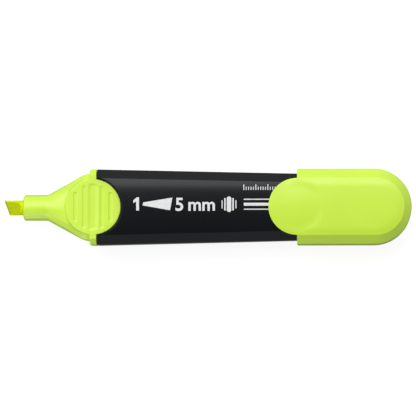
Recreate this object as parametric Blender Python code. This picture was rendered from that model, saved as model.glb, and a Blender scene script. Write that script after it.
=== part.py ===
"""A flat-bodied highlighter with its cap posted on the rear end of the barrel.

Metres, +Z up. The pen lies on its flat side: +X runs from the nib to the closed end of the cap, and +Y across
the width. The origin is under the middle of the whole length, on the surface that the pen lies on.

The pen's pieces are measured along their axis from the front face of the flange, and the cap's pieces from the
cap's mouth. Two empties carry them: "highlighter" on the pen's axis, and "cap_slide" on the same axis at the mouth.
"""

import math

import bmesh
import bpy

# Body section, a flat octagon with softened edges
BODY_WIDTH = 0.0252
BODY_THICKNESS = 0.0160
CHAMFER = 0.0031
CROWN = 0.00025
FLAT_HALF = 0.0040
FACE_EDGE_RADIUS = 0.0004
SIDE_EDGE_RADIUS = 0.0010
TAPER = 0.0221

# Lengths along the pen, from the nib to the rear plug
NIB_REACH = 0.00625
NOSE_LENGTH = 0.0078
FLARE_LENGTH = 0.0135
SEAT_LENGTH = 0.0010
FLANGE_LENGTH = 0.00235
BARREL_LENGTH = 0.07965
PLUG_PLATE = 0.0013

# Clearances
GAP = 0.0003
FIT_GAP = 0.00025

# Walls
BARREL_WALL = 0.0015
SECTION_WALL = 0.0013
CAP_WALL = 0.0011
SEAL_WALL = 0.0009
PLUG_WALL = 0.0010
FILM_WALL = 0.00022

# Front section
NOSE_RADIUS = 0.0043
NOSE_TIP_RADIUS = 0.00417
NOSE_ROUNDING = 0.0006
FLARE_START_BLEND = 0.10
FLARE_END_BLEND = 0.16
NIB_RIB_HEIGHT = 0.00035
NIB_RIB_WIDTH = 0.0008
GUIDE_WALL = 0.0009
GUIDE_BACK = 0.0053
CAVITY_DEPTH = 0.0057
INSERT_LENGTH = 0.0145
WEB_THICKNESS = 0.0010
SEAT_RELIEF = 0.00005

# Thumb disc and its grip grooves
DISC_EDGE_INSET = 0.00005
NOTCH_CLEARANCE = 0.0003
DISC_DISH = 0.00030
GROOVE_COUNT = 5
GROOVE_PITCH = 0.0026
GROOVE_WIDTH = 0.0010
GROOVE_DEPTH = 0.00035
GROOVE_RIM = 0.0021

# Nib
NIB_RADIUS = 0.0025
NIB_TAIL_RADIUS = 0.0016
CHISEL_LENGTH = 0.0057
CHISEL_RUNOUT = 0.0018
CHISEL_ROOT_HALF = 0.00175
CHISEL_TIP_HALF = 0.00115
CHISEL_SLANT = 0.354

# Ink reservoir, a fibre core in a film sleeve
CORE_FRONT_GAP = 0.0017
CORE_REAR_GAP = 0.0021
CORE_SIDE_GAP = 0.0007
SOCKET_DEPTH = 0.0067
FILM_OVERHANG = 0.0005
RAIL_HEIGHT = 0.0002
RAIL_WIDTH = 0.0012
RAIL_SPACING = 0.0080
RAIL_SETBACK = 0.0030

# Rear plug
PLUG_SKIRT = 0.0052
PLUG_DIMPLE_RADIUS = 0.0022
PLUG_DIMPLE_DEPTH = 0.0005
PLUG_EDGE = 0.0005

# Cap
CAP_LENGTH = 0.0383
CAP_END_BEVEL = 0.0024
RIB_START = 0.01535
RIB_LENGTH = 0.0125
RIB_THICKNESS = 0.0010
POST_RADIUS = 0.0030
POSTED_CLEARANCE = 0.00015
SEAL_LENGTH = 0.0169
SEAL_BASE = 0.0010
SEAL_EAR_REACH = 0.0016
SEAL_EAR_HALF_HEIGHT = 0.0015
SEAL_EAR_LENGTH = 0.0010

# Facets
ARC_STEPS = 2
ROUND_STEPS = 40
BEND_STEPS = 20

# Worked out from the sizes above
HALF_WIDTH = BODY_WIDTH / 2
HALF_THICKNESS = BODY_THICKNESS / 2
SEAT_START = -SEAT_LENGTH
FLARE_START = SEAT_START - FLARE_LENGTH
NOSE_START = FLARE_START - NOSE_LENGTH
NIB_START = NOSE_START - NIB_REACH
DISC_CENTRE = FLANGE_LENGTH / 2
BARREL_START = FLANGE_LENGTH + GAP
BARREL_END = BARREL_START + BARREL_LENGTH
INSERT_END = BARREL_START + INSERT_LENGTH
PLUG_END = BARREL_END + GAP + PLUG_PLATE
FACE_HALF = HALF_WIDTH - CHAMFER
DISC_RADIUS = FACE_HALF - DISC_EDGE_INSET
CAP_STEP = CAP_WALL + FIT_GAP
DISC_HEIGHT = HALF_THICKNESS - CAP_STEP
NIB_BORE_RADIUS = NIB_RADIUS + FIT_GAP + NIB_RIB_HEIGHT
GUIDE_RADIUS = NIB_BORE_RADIUS + GUIDE_WALL
GUIDE_MIDDLE = NIB_BORE_RADIUS + GUIDE_WALL / 2
CORE_START = GUIDE_BACK + CORE_FRONT_GAP
CORE_END = BARREL_END - PLUG_SKIRT - CORE_REAR_GAP
SEAL_BORE_RADIUS = NOSE_RADIUS + FIT_GAP
SEAL_RADIUS = SEAL_BORE_RADIUS + SEAL_WALL
SEAL_MOUTH = RIB_START + GAP
SEAL_END = SEAL_MOUTH + SEAL_LENGTH

# Pushed on over the rear end, the cap stops where its ribs meet the plug or its tongues meet the taper
TONGUE_STOP = BARREL_START + (CAP_WALL + POSTED_CLEARANCE) / TAPER
CAP_MOUTH = max(PLUG_END - RIB_START + GAP, TONGUE_STOP + DISC_RADIUS)
CAP_END = CAP_MOUTH + CAP_LENGTH
CAP_BEND = CAP_LENGTH - HALF_WIDTH

# An inward offset of an octagon shortens its chamfer by this share of the offset
INSET_CHAMFER = 2 - math.sqrt(2)
REACH = 0.02

LIME = (0.60, 0.85, 0.09, 1)
INK = (0.48, 0.56, 0.01, 1)
BLACK = (0.012, 0.013, 0.015, 1)
WHITE = (0.86, 0.88, 0.80, 1)
FILM = (0.85, 0.87, 0.80, 1)


def clear_scene():
    for obj in list(bpy.data.objects):
        bpy.data.objects.remove(obj)


def material(name, colour, roughness):
    made = bpy.data.materials.new(name)
    made.use_nodes = True
    shader = made.node_tree.nodes["Principled BSDF"]
    shader.inputs["Base Color"].default_value = colour
    shader.inputs["Roughness"].default_value = roughness
    return made


def add_object(name, bm, parent, finish=None, smooth_angle=35):
    """A mesh object from bm, hung on parent. Without a finish it is a cutter or a piece to be joined."""
    bmesh.ops.recalc_face_normals(bm, faces=bm.faces)
    mesh = bpy.data.meshes.new(name)
    bm.to_mesh(mesh)
    bm.free()
    obj = bpy.data.objects.new(name, mesh)
    bpy.context.scene.collection.objects.link(obj)
    obj.parent = parent
    if finish:
        mesh.materials.append(finish)
        mesh.shade_smooth()
        mesh.set_sharp_from_angle(angle=math.radians(smooth_angle))
    else:
        obj.hide_render = True
        obj.display_type = "WIRE"
    return obj


def combine(obj, operation, *tools):
    for tool in tools:
        step = obj.modifiers.new(tool.name, "BOOLEAN")
        step.operation = operation
        step.solver = "EXACT"
        step.object = tool


def add_empty(name, parent=None, location=(0, 0, 0)):
    empty = bpy.data.objects.new(name, None)
    bpy.context.scene.collection.objects.link(empty)
    empty.parent = parent
    empty.location = location
    return empty


# Outlines across the pen, as lists of (y, z)


def rounded_corner(before, corner, after, radius, steps=ARC_STEPS):
    """Points of the arc that rounds a corner, from the side of before to the side of after."""
    into = [(a - c) / math.dist(before, corner) for a, c in zip(before, corner)]
    out = [(a - c) / math.dist(after, corner) for a, c in zip(after, corner)]
    half = math.acos(max(-1.0, min(1.0, into[0] * out[0] + into[1] * out[1]))) / 2
    tangent = radius / math.tan(half)
    middle = [i + o for i, o in zip(into, out)]
    scale = radius / math.sin(half) / math.hypot(*middle)
    centre = [c + m * scale for c, m in zip(corner, middle)]
    start = [c + i * tangent for c, i in zip(corner, into)]
    end = [c + o * tangent for c, o in zip(corner, out)]
    first = math.atan2(start[1] - centre[1], start[0] - centre[0])
    turn = math.atan2(end[1] - centre[1], end[0] - centre[0]) - first
    turn = (turn + math.pi) % (2 * math.pi) - math.pi
    return [
        (
            centre[0] + radius * math.cos(first + turn * k / steps),
            centre[1] + radius * math.sin(first + turn * k / steps),
        )
        for k in range(steps + 1)
    ]


def quarter(half_width, half_thickness, chamfer, crown=0.0):
    """The outline's first quarter, from the side's middle (+Y) to the face's middle (+Z)."""
    side = (half_width, half_thickness - chamfer)
    edge = (half_width - chamfer, half_thickness - crown)
    flat = min(FLAT_HALF, 0.6 * edge[0])
    arc = [edge[0] + (flat - edge[0]) * k / 3 for k in (1, 2)]
    face = [(y, half_thickness - crown * ((y - flat) / (edge[0] - flat)) ** 2) for y in arc]
    side_radius = min(SIDE_EDGE_RADIUS, chamfer)
    edge_radius = min(FACE_EDGE_RADIUS, chamfer / 2)
    return [
        (half_width, 0.0),
        (half_width, side[1] / 2),
        *rounded_corner((half_width, 0.0), side, edge, side_radius),
        *rounded_corner(side, edge, face[0], edge_radius),
        *face,
        (flat, half_thickness),
        (0.0, half_thickness),
    ]


def all_round(first_quarter):
    upper = first_quarter + [(-y, z) for y, z in reversed(first_quarter[:-1])]
    return upper + [(-y, -z) for y, z in upper[1:-1]]


def body_outline(inset=0.0, crown=0.0):
    """The body's section taken in by an inset, with the chamfer an inward offset leaves."""
    return all_round(
        quarter(HALF_WIDTH - inset, HALF_THICKNESS - inset, CHAMFER - INSET_CHAMFER * inset, crown)
    )


def tapered_outline(inset=0.0):
    """The barrel's outside, which keeps its chamfer as it tapers."""
    return all_round(quarter(HALF_WIDTH - inset, HALF_THICKNESS - inset, CHAMFER, CROWN))


def barrel_inset(x):
    return TAPER * (x - BARREL_START)


def inner_outline(x, further=0.0):
    """The barrel's inside at x, or a piece that fits in it with the further inset."""
    inset = barrel_inset(x)
    wall = BARREL_WALL + further
    chamfer = CHAMFER - INSET_CHAMFER * wall
    return all_round(quarter(HALF_WIDTH - inset - wall, HALF_THICKNESS - inset - wall, chamfer))


def reservoir_room():
    """Half the width and thickness that the film sleeve may fill, inside the section's sleeve and the rails."""
    in_sleeve = barrel_inset(INSERT_END) + BARREL_WALL + FIT_GAP + SECTION_WALL
    on_rails = barrel_inset(CORE_END) + BARREL_WALL + RAIL_HEIGHT
    taken = max(in_sleeve, on_rails) + FIT_GAP
    return HALF_WIDTH - taken - CORE_SIDE_GAP, HALF_THICKNESS - taken


def unit_angles():
    """The angle of each point of the outline, once the outline is squeezed into a circle."""
    return [math.atan2(z / HALF_THICKNESS, y / HALF_WIDTH) for y, z in body_outline()]


def round_outline(radius, other_radius=None):
    other = radius if other_radius is None else other_radius
    return [(radius * math.cos(a), other * math.sin(a)) for a in unit_angles()]


def circle(radius, steps=ROUND_STEPS):
    turns = [2 * math.pi * k / steps for k in range(steps)]
    return [(radius * math.cos(a), radius * math.sin(a)) for a in turns]


def stadium(half_width, half_thickness):
    """A flat oval with round ends, with as many points as the other outlines."""
    straight = half_width - half_thickness
    return [
        (math.copysign(straight, math.cos(a)) + half_thickness * math.cos(a), half_thickness * math.sin(a))
        if abs(math.cos(a)) > 1e-9
        else (0.0, half_thickness * math.sin(a))
        for a in unit_angles()
    ]


def mixed(first, second, share):
    return [
        (a[0] + (b[0] - a[0]) * share, a[1] + (b[1] - a[1]) * share)
        for a, b in zip(first, second)
    ]


# Solids


def loft(stations, ring_shut=False):
    """A skin through (x, outline) stations. A shut one joins its last outline to its first, and is a tube."""
    bm = bmesh.new()
    rings = [[bm.verts.new((x, y, z)) for y, z in outline] for x, outline in stations]
    pairs = list(zip(rings, rings[1:] + rings[:1] if ring_shut else rings[1:]))
    for near, far in pairs:
        for k in range(len(near)):
            after = (k + 1) % len(near)
            bm.faces.new((near[k], near[after], far[after], far[k]))
    if not ring_shut:
        bm.faces.new(rings[0])
        bm.faces.new(reversed(rings[-1]))
    return bm


def block(low, high):
    bm = bmesh.new()
    made = bmesh.ops.create_cube(bm, size=1)
    for vert in made["verts"]:
        vert.co = [l + (h - l) * (c + 0.5) for l, h, c in zip(low, high, vert.co)]
    return bm


def upright_cylinder(x, radius, low, high, steps=2 * ROUND_STEPS):
    """A cylinder along Z with its axis at x."""
    bm = bmesh.new()
    rings = [
        [bm.verts.new((x + a, b, z)) for a, b in circle(radius, steps)] for z in (low, high)
    ]
    for k in range(steps):
        after = (k + 1) % steps
        bm.faces.new((rings[0][k], rings[0][after], rings[1][after], rings[1][k]))
    bm.faces.new(rings[0])
    bm.faces.new(reversed(rings[1]))
    return bm


def extruded(outline, low, high):
    """A plan outline of (x, y) points, extruded from low to high along Z."""
    bm = bmesh.new()
    base = bm.faces.new([bm.verts.new((x, y, low)) for x, y in outline])
    made = bmesh.ops.extrude_face_region(bm, geom=[base])
    for item in made["geom"]:
        if isinstance(item, bmesh.types.BMVert):
            item.co.z = high
    return bm


def soft_ramp(u, start=FLARE_START_BLEND, end=FLARE_END_BLEND):
    """A straight ramp from 0 to 1 that starts and ends level."""
    slope = 1 / (1 - (start + end) / 2)
    if u < start:
        return slope * u * u / (2 * start)
    if u > 1 - end:
        return 1 - slope * (1 - u) ** 2 / (2 * end)
    return slope * (u - start / 2)


def smooth(u):
    return u * u * (3 - 2 * u)


# The pen's pieces


def flare_outline(u, inset=0.0):
    """The front section's outside at a share u of the flare: round at the nose, octagonal at the seat."""
    seat = CAP_STEP + SEAT_RELIEF
    grown = soft_ramp(u)
    half_width = NOSE_RADIUS + (HALF_WIDTH - seat - NOSE_RADIUS) * grown - inset
    half_thickness = NOSE_RADIUS + (HALF_THICKNESS - seat - NOSE_RADIUS) * grown - inset
    chamfer = CHAMFER - INSET_CHAMFER * (seat + inset)
    square = all_round(quarter(half_width, half_thickness, chamfer))
    return mixed(round_outline(half_width, half_thickness), square, smooth(u))


def section_outside():
    """The front section as a solid, from the nose's front to the end of the sleeve that fits in the barrel."""
    outside = [
        (NOSE_START, round_outline(NOSE_TIP_RADIUS - NOSE_ROUNDING)),
        (NOSE_START + NOSE_ROUNDING * 0.3, round_outline(NOSE_TIP_RADIUS - NOSE_ROUNDING * 0.3)),
        (NOSE_START + NOSE_ROUNDING, round_outline(NOSE_TIP_RADIUS)),
        *[(FLARE_START + FLARE_LENGTH * k / 12, flare_outline(k / 12)) for k in range(13)],
        (0.0, flare_outline(1)),
        (0.0, body_outline(0, CROWN)),
        (FLANGE_LENGTH, body_outline(0, CROWN)),
        (FLANGE_LENGTH, inner_outline(BARREL_START, FIT_GAP)),
        (INSERT_END, inner_outline(INSERT_END, FIT_GAP)),
    ]
    return loft(outside)


def section_cavity():
    """The hollow behind the nose, no wider at its front than at the sleeve's open end."""
    open_end = inner_outline(INSERT_END, FIT_GAP + SECTION_WALL)
    front = flare_outline(1 + (SEAT_START - CAVITY_DEPTH) / FLARE_LENGTH, SECTION_WALL)
    return loft([(SEAT_START - CAVITY_DEPTH, front), (SEAT_START, open_end), (INSERT_END + GAP, open_end)])


def groove_outline(offset):
    """A straight groove across the thumb disc, with round ends."""
    rim = DISC_RADIUS - GROOVE_RIM
    half = math.sqrt(rim**2 - offset**2) - GROOVE_WIDTH / 2
    x = DISC_CENTRE + offset
    ends = []
    for sign in (1, -1):
        for k in range(7):
            turn = math.pi * k / 6
            ends.append(
                (
                    x + sign * GROOVE_WIDTH / 2 * math.cos(turn),
                    sign * (half + GROOVE_WIDTH / 2 * math.sin(turn)),
                )
            )
    return ends


def disc_dish(side):
    """A cutter that hollows the disc's face by the dish's depth: the lens of a large sphere."""
    bm = bmesh.new()
    rings = []
    radius = DISC_RADIUS - GROOVE_RIM / 3
    for k in range(5):
        share = 1 - k / 5
        depth = DISC_DISH * (1 - share**2)
        z = side * (DISC_HEIGHT - depth)
        rings.append([bm.verts.new((DISC_CENTRE + a, b, z)) for a, b in circle(radius * share)])
    top = side * (DISC_HEIGHT + CAP_STEP)
    rings.insert(0, [bm.verts.new((DISC_CENTRE + a, b, top)) for a, b in circle(radius)])
    for near, far in zip(rings, rings[1:]):
        for k in range(ROUND_STEPS):
            after = (k + 1) % ROUND_STEPS
            bm.faces.new((near[k], near[after], far[after], far[k]))
    bm.faces.new(rings[0])
    bm.faces.new(reversed(rings[-1]))
    return bm


def make_front_section(pen, finish):
    section = add_object("front_section", section_outside(), pen, finish)
    combine(section, "DIFFERENCE", add_object("section_cavity", section_cavity(), pen))
    guide = loft([(FLARE_START, circle(GUIDE_RADIUS - GAP)), (GUIDE_BACK, circle(GUIDE_RADIUS))])
    combine(section, "UNION", add_object("nib_guide", guide, pen))
    web_end = HALF_WIDTH - BARREL_WALL - FIT_GAP - SECTION_WALL / 2
    for side, name in ((1, "left"), (-1, "right")):
        near, far = sorted((side * GUIDE_MIDDLE, side * web_end))
        start, end = FLANGE_LENGTH, GUIDE_BACK - WEB_THICKNESS
        web = block((start, near, -WEB_THICKNESS / 2), (end, far, WEB_THICKNESS / 2))
        combine(section, "UNION", add_object(f"{name}_web", web, pen))
    root = DISC_HEIGHT - CAP_STEP - FIT_GAP
    for side, name in ((1, "upper"), (-1, "lower")):
        near, far = sorted((side * DISC_HEIGHT, side * (HALF_THICKNESS + GAP)))
        clear = upright_cylinder(DISC_CENTRE, DISC_RADIUS, near, far)
        combine(section, "DIFFERENCE", add_object(f"{name}_flange_relief", clear, pen))
        near, far = sorted((side * root, side * DISC_HEIGHT))
        disc = upright_cylinder(DISC_CENTRE, DISC_RADIUS - DISC_EDGE_INSET, near, far)
        combine(section, "UNION", add_object(f"{name}_disc", disc, pen))
        combine(section, "DIFFERENCE", add_object(f"{name}_dish", disc_dish(side), pen))
        for k in range(GROOVE_COUNT):
            offset = (k - (GROOVE_COUNT - 1) / 2) * GROOVE_PITCH
            floor = DISC_HEIGHT - DISC_DISH - GROOVE_DEPTH
            near, far = sorted((side * floor, side * (HALF_THICKNESS + GAP)))
            groove = extruded(groove_outline(offset), near, far)
            combine(section, "DIFFERENCE", add_object(f"{name}_groove_{k + 1}", groove, pen))
    bore = loft([(NOSE_START - GAP, circle(NIB_BORE_RADIUS)), (GUIDE_BACK + GAP, circle(NIB_BORE_RADIUS))])
    combine(section, "DIFFERENCE", add_object("nib_bore", bore, pen))
    for k in range(4):
        start, end = NOSE_START + 2 * NIB_RIB_WIDTH, GUIDE_BACK - NIB_RIB_WIDTH
        half = NIB_RIB_WIDTH / 2
        rib = block((start, NIB_RADIUS + FIT_GAP, -half), (end, GUIDE_MIDDLE, half))
        tool = add_object(f"nib_rib_{k + 1}", rib, pen)
        tool.rotation_euler.x = math.pi / 4 + math.pi / 2 * k
        combine(section, "UNION", tool)
    return section


def make_barrel(pen, finish):
    soft = FACE_EDGE_RADIUS
    stations = [
        (BARREL_START, tapered_outline(soft / 2)),
        (BARREL_START + soft, tapered_outline(barrel_inset(BARREL_START + soft))),
        (BARREL_END - soft, tapered_outline(barrel_inset(BARREL_END - soft))),
        (BARREL_END, tapered_outline(barrel_inset(BARREL_END) + soft / 2)),
        (BARREL_END, inner_outline(BARREL_END)),
        (BARREL_START, inner_outline(BARREL_START)),
    ]
    barrel = add_object("barrel", loft(stations, ring_shut=True), pen, finish)
    notch = upright_cylinder(
        DISC_CENTRE, DISC_RADIUS + NOTCH_CLEARANCE, -BODY_THICKNESS, BODY_THICKNESS
    )
    combine(barrel, "DIFFERENCE", add_object("thumb_notch", notch, pen))
    for side in (1, -1):
        for y in (RAIL_SPACING / 2, -RAIL_SPACING / 2):
            place = f"{'upper' if side > 0 else 'lower'}_{'left' if y > 0 else 'right'}_rail"
            combine(barrel, "UNION", add_object(place, reservoir_rail(side, y), pen))
    return barrel


def reservoir_rail(side, y):
    """A rail inside the barrel that the reservoir lies on. Its root is in the middle of the tapering wall."""
    start = INSERT_END + RAIL_SETBACK
    end = CORE_END - RAIL_SETBACK
    top = reservoir_room()[1] + FIT_GAP
    bm = block((start, y - RAIL_WIDTH / 2, 0), (end, y + RAIL_WIDTH / 2, 1))
    for vert in bm.verts:
        root = HALF_THICKNESS - barrel_inset(vert.co.x) - BARREL_WALL / 2
        vert.co.z = side * (root if vert.co.z > 0.5 else top)
    return bm


def chisel_half(x):
    """Half the nib's thickness at x, where its faces are ground flat."""
    blade = NIB_START + CHISEL_LENGTH - CHISEL_RUNOUT
    if x >= NIB_START + CHISEL_LENGTH:
        return NIB_RADIUS
    if x >= blade:
        rise = (x - blade) / CHISEL_RUNOUT
        return CHISEL_ROOT_HALF + (NIB_RADIUS - CHISEL_ROOT_HALF) * rise**2
    share = (x - NIB_START) / (blade - NIB_START)
    return CHISEL_TIP_HALF + (CHISEL_ROOT_HALF - CHISEL_TIP_HALF) * share


def make_nib(pen, finish):
    tail_end = CORE_START + SOCKET_DEPTH - 2 * GAP
    blade = NIB_START + CHISEL_LENGTH - CHISEL_RUNOUT
    shoulder = GUIDE_BACK + NIB_TAIL_RADIUS - NIB_RADIUS
    stations = []
    for x, radius in (
        (NIB_START - GAP, NIB_RADIUS),
        (blade, NIB_RADIUS),
        *[(blade + CHISEL_RUNOUT * k / 6, NIB_RADIUS) for k in range(1, 7)],
        (shoulder, NIB_RADIUS),
        (GUIDE_BACK, NIB_TAIL_RADIUS),
        (tail_end - NIB_TAIL_RADIUS / 2, NIB_TAIL_RADIUS),
        (tail_end, NIB_TAIL_RADIUS / 2),
    ):
        half = chisel_half(max(x, NIB_START))
        stations.append((x, [(y, max(-half, min(half, z))) for y, z in circle(radius)]))
    nib = add_object("nib", loft(stations), pen, finish)
    half = NIB_RADIUS + GAP
    low, high = NIB_START + CHISEL_SLANT * -GAP, NIB_START + CHISEL_SLANT * (2 * NIB_RADIUS + GAP)
    slant = [(NIB_START - REACH, half), (NIB_START - REACH, -half), (high, -half), (low, half)]
    tool = add_object("nib_slant", extruded(slant, -2 * half, 2 * half), pen)
    combine(nib, "DIFFERENCE", tool)
    return nib


def make_reservoir(pen, fibre, film):
    width, thickness = reservoir_room()
    soft = FACE_EDGE_RADIUS
    core_width, core_thickness = width - FILM_WALL - GAP, thickness - FILM_WALL - GAP
    oval = stadium(core_width, core_thickness)
    eased = stadium(core_width - soft, core_thickness - soft)
    socket = round_outline(NIB_TAIL_RADIUS + GAP)
    core = loft(
        [
            (CORE_END, eased),
            (CORE_END - soft, oval),
            (CORE_START + soft, oval),
            (CORE_START, eased),
            (CORE_START, socket),
            (CORE_START + SOCKET_DEPTH, socket),
        ]
    )
    start, end = CORE_START - FILM_OVERHANG, CORE_END + FILM_OVERHANG
    inner, outer = stadium(width - FILM_WALL, thickness - FILM_WALL), stadium(width, thickness)
    sleeve = loft([(start, outer), (end, outer), (end, inner), (start, inner)], ring_shut=True)
    add_object("reservoir_core", core, pen, fibre)
    add_object("reservoir_film", sleeve, pen, film)


def make_rear_plug(pen, finish):
    plate_start = BARREL_END + GAP
    skirt_start = BARREL_END - PLUG_SKIRT
    outer = barrel_inset(BARREL_END)
    stations = [
        (PLUG_END - PLUG_DIMPLE_DEPTH, round_outline(PLUG_DIMPLE_RADIUS - PLUG_DIMPLE_DEPTH)),
        (PLUG_END, round_outline(PLUG_DIMPLE_RADIUS)),
        (PLUG_END, tapered_outline(outer + PLUG_EDGE)),
        (PLUG_END - PLUG_EDGE, tapered_outline(outer)),
        (plate_start, tapered_outline(outer)),
        (plate_start, inner_outline(BARREL_END, FIT_GAP)),
        (skirt_start, inner_outline(BARREL_END, FIT_GAP)),
        (skirt_start, inner_outline(BARREL_END, FIT_GAP + PLUG_WALL)),
        (plate_start, inner_outline(BARREL_END, FIT_GAP + PLUG_WALL)),
    ]
    return add_object("rear_plug", loft(stations), pen, finish)


# The cap's pieces, measured from the cap's mouth


def cap_solid(inset, start, crown):
    """The cap's section swept along the cap and round its closed end, taken in by an inset.

    The bevel narrows round the closed end, where it is CAP_END_BEVEL wide.
    """
    half_width, half_thickness = HALF_WIDTH - inset, HALF_THICKNESS - inset
    chamfer = CHAMFER - INSET_CHAMFER * inset
    upper = quarter(half_width, half_thickness, chamfer, crown)
    profile = upper[-2::-1] + [(r, -z) for r, z in upper[1:-1]]
    bends = [-math.pi / 2 + math.pi * k / BEND_STEPS for k in range(BEND_STEPS + 1)]
    bm = bmesh.new()
    rows = []
    for r, z in profile:
        share = min(r / (half_width - chamfer), (half_width - r) / chamfer)
        ease = (CHAMFER - CAP_END_BEVEL) * share
        path = [
            (CAP_BEND + (r + ease * math.cos(a)) * math.cos(a), (r + ease * math.cos(a)) * math.sin(a))
            for a in bends
        ]
        path = [(start, -r)] + path + [(start, r)]
        rows.append([bm.verts.new((x, y, z)) for x, y in path])
    for near, far in zip(rows, rows[1:]):
        for k in range(len(near) - 1):
            bm.faces.new((near[k], near[k + 1], far[k + 1], far[k]))
    bm.faces.new(rows[0])
    bm.faces.new(reversed(rows[-1]))
    bm.faces.new([row[0] for row in rows] + [row[-1] for row in reversed(rows)])
    return bm


def mouth_cutter_outline():
    """All that lies ahead of the mouth, but for the half disc of the tongues."""
    turns = [math.pi / 2 + math.pi * k / BEND_STEPS for k in range(BEND_STEPS + 1)]
    tongue = [(DISC_RADIUS * math.cos(a), DISC_RADIUS * math.sin(a)) for a in turns]
    tongue[0], tongue[-1] = (0.0, DISC_RADIUS), (0.0, -DISC_RADIUS)
    return [(0.0, REACH), *tongue, (0.0, -REACH), (-REACH, -REACH), (-REACH, REACH)]


def make_cap_shell(cap, finish):
    shell = add_object("cap_shell", cap_solid(0, -DISC_RADIUS - CAP_WALL, CROWN), cap, finish)
    hollow = add_object("cap_hollow", cap_solid(CAP_WALL, -REACH, 0), cap)
    mouth = add_object("cap_mouth", extruded(mouth_cutter_outline(), -REACH, REACH), cap)
    combine(shell, "DIFFERENCE", hollow, mouth)
    trim = add_object("rib_trim", cap_solid(CAP_WALL / 2, 0, 0), cap)
    half, near, end = RIB_THICKNESS / 2, SEAL_RADIUS + FIT_GAP, RIB_START + RIB_LENGTH
    for k, name in enumerate(("left", "upper", "right", "lower")):
        tool = add_object(f"{name}_rib", block((RIB_START, near, -half), (end, BODY_WIDTH, half)), cap)
        tool.rotation_euler.x = math.pi / 2 * k
        combine(tool, "INTERSECT", trim)
        combine(shell, "UNION", tool)
    post = loft(
        [(SEAL_END + GAP, circle(POST_RADIUS)), (CAP_LENGTH - CAP_WALL / 2, circle(POST_RADIUS))]
    )
    combine(shell, "UNION", add_object("seal_post", post, cap))
    return shell


def make_inner_seal(cap, finish):
    """The cup that closes over the nose and nib when the cap is on the front of the pen."""
    lead = SEAL_WALL / 3
    stations = [
        (SEAL_END, circle(SEAL_RADIUS - lead)),
        (SEAL_END - lead, circle(SEAL_RADIUS)),
        (SEAL_MOUTH + lead, circle(SEAL_RADIUS)),
        (SEAL_MOUTH, circle(SEAL_RADIUS - lead)),
        (SEAL_MOUTH, circle(SEAL_BORE_RADIUS + lead)),
        (SEAL_MOUTH + lead, circle(SEAL_BORE_RADIUS)),
        (SEAL_END - SEAL_BASE - lead, circle(SEAL_BORE_RADIUS)),
        (SEAL_END - SEAL_BASE, circle(SEAL_BORE_RADIUS - lead)),
    ]
    seal = add_object("cap_inner_seal", loft(stations), cap, finish)
    start = RIB_START + RIB_LENGTH + GAP
    for side, name in ((1, "left"), (-1, "right")):
        near, far = sorted(
            (side * (SEAL_RADIUS - SEAL_WALL / 2), side * (SEAL_RADIUS + SEAL_EAR_REACH))
        )
        low = (start, near, -SEAL_EAR_HALF_HEIGHT)
        high = (start + SEAL_EAR_LENGTH, far, SEAL_EAR_HALF_HEIGHT)
        combine(seal, "UNION", add_object(f"{name}_ear", block(low, high), cap))
    return seal


def main():
    clear_scene()
    lime = material("lime_plastic", LIME, 0.40)
    black = material("black_plastic", BLACK, 0.45)
    felt = material("inked_felt", INK, 0.85)
    fibre = material("inked_fibre", INK, 0.90)
    clear_film = material("clear_film", FILM, 0.20)
    natural = material("natural_polyethylene", WHITE, 0.50)
    middle = -(NIB_START + CAP_END) / 2
    pen = add_empty("highlighter", location=(middle, 0, HALF_THICKNESS))
    cap = add_empty("cap_slide", pen, (CAP_MOUTH, 0, 0))
    make_front_section(pen, lime)
    make_barrel(pen, black)
    make_nib(pen, felt)
    make_reservoir(pen, fibre, clear_film)
    make_rear_plug(pen, black)
    make_cap_shell(cap, lime)
    make_inner_seal(cap, natural)


main()
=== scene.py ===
"""The looks of a flat-bodied highlighter, lying flat with its cap posted, around its CAD frame.

Metres, +Z up. +X runs from the nib to the closed end of the cap, and +Y across the width.
"""

import math

import bmesh
import bpy
from mathutils import Matrix, Vector
from mathutils.bvhtree import BVHTree


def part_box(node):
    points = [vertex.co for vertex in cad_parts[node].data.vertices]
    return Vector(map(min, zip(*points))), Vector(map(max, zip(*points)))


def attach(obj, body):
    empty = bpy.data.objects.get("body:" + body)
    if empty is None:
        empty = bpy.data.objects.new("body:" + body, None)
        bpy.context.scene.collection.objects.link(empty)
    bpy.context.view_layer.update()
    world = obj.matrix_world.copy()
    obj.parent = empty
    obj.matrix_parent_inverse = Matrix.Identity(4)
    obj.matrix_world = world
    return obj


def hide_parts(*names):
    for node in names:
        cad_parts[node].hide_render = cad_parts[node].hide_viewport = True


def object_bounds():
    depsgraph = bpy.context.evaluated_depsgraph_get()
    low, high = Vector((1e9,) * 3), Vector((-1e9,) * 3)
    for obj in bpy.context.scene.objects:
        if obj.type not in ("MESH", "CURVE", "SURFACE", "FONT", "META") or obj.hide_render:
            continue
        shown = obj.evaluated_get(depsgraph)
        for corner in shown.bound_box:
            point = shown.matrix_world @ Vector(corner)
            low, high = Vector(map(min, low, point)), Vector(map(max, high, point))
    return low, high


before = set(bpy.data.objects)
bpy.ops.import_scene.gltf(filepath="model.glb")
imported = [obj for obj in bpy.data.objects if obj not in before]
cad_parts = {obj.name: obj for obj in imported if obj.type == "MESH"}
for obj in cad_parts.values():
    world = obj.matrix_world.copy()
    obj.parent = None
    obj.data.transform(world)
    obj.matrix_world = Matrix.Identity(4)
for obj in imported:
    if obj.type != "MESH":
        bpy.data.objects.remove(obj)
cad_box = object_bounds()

MM = 0.001

# ---------------------------------------------------------------- sizes

# Body section
CHAMFER = 3.1 * MM
FACE_EDGE_RADIUS = 0.30 * MM
SIDE_EDGE_RADIUS = 1.1 * MM
TAPER = 0.0221
INSET_CHAMFER = 2 - math.sqrt(2)

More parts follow.
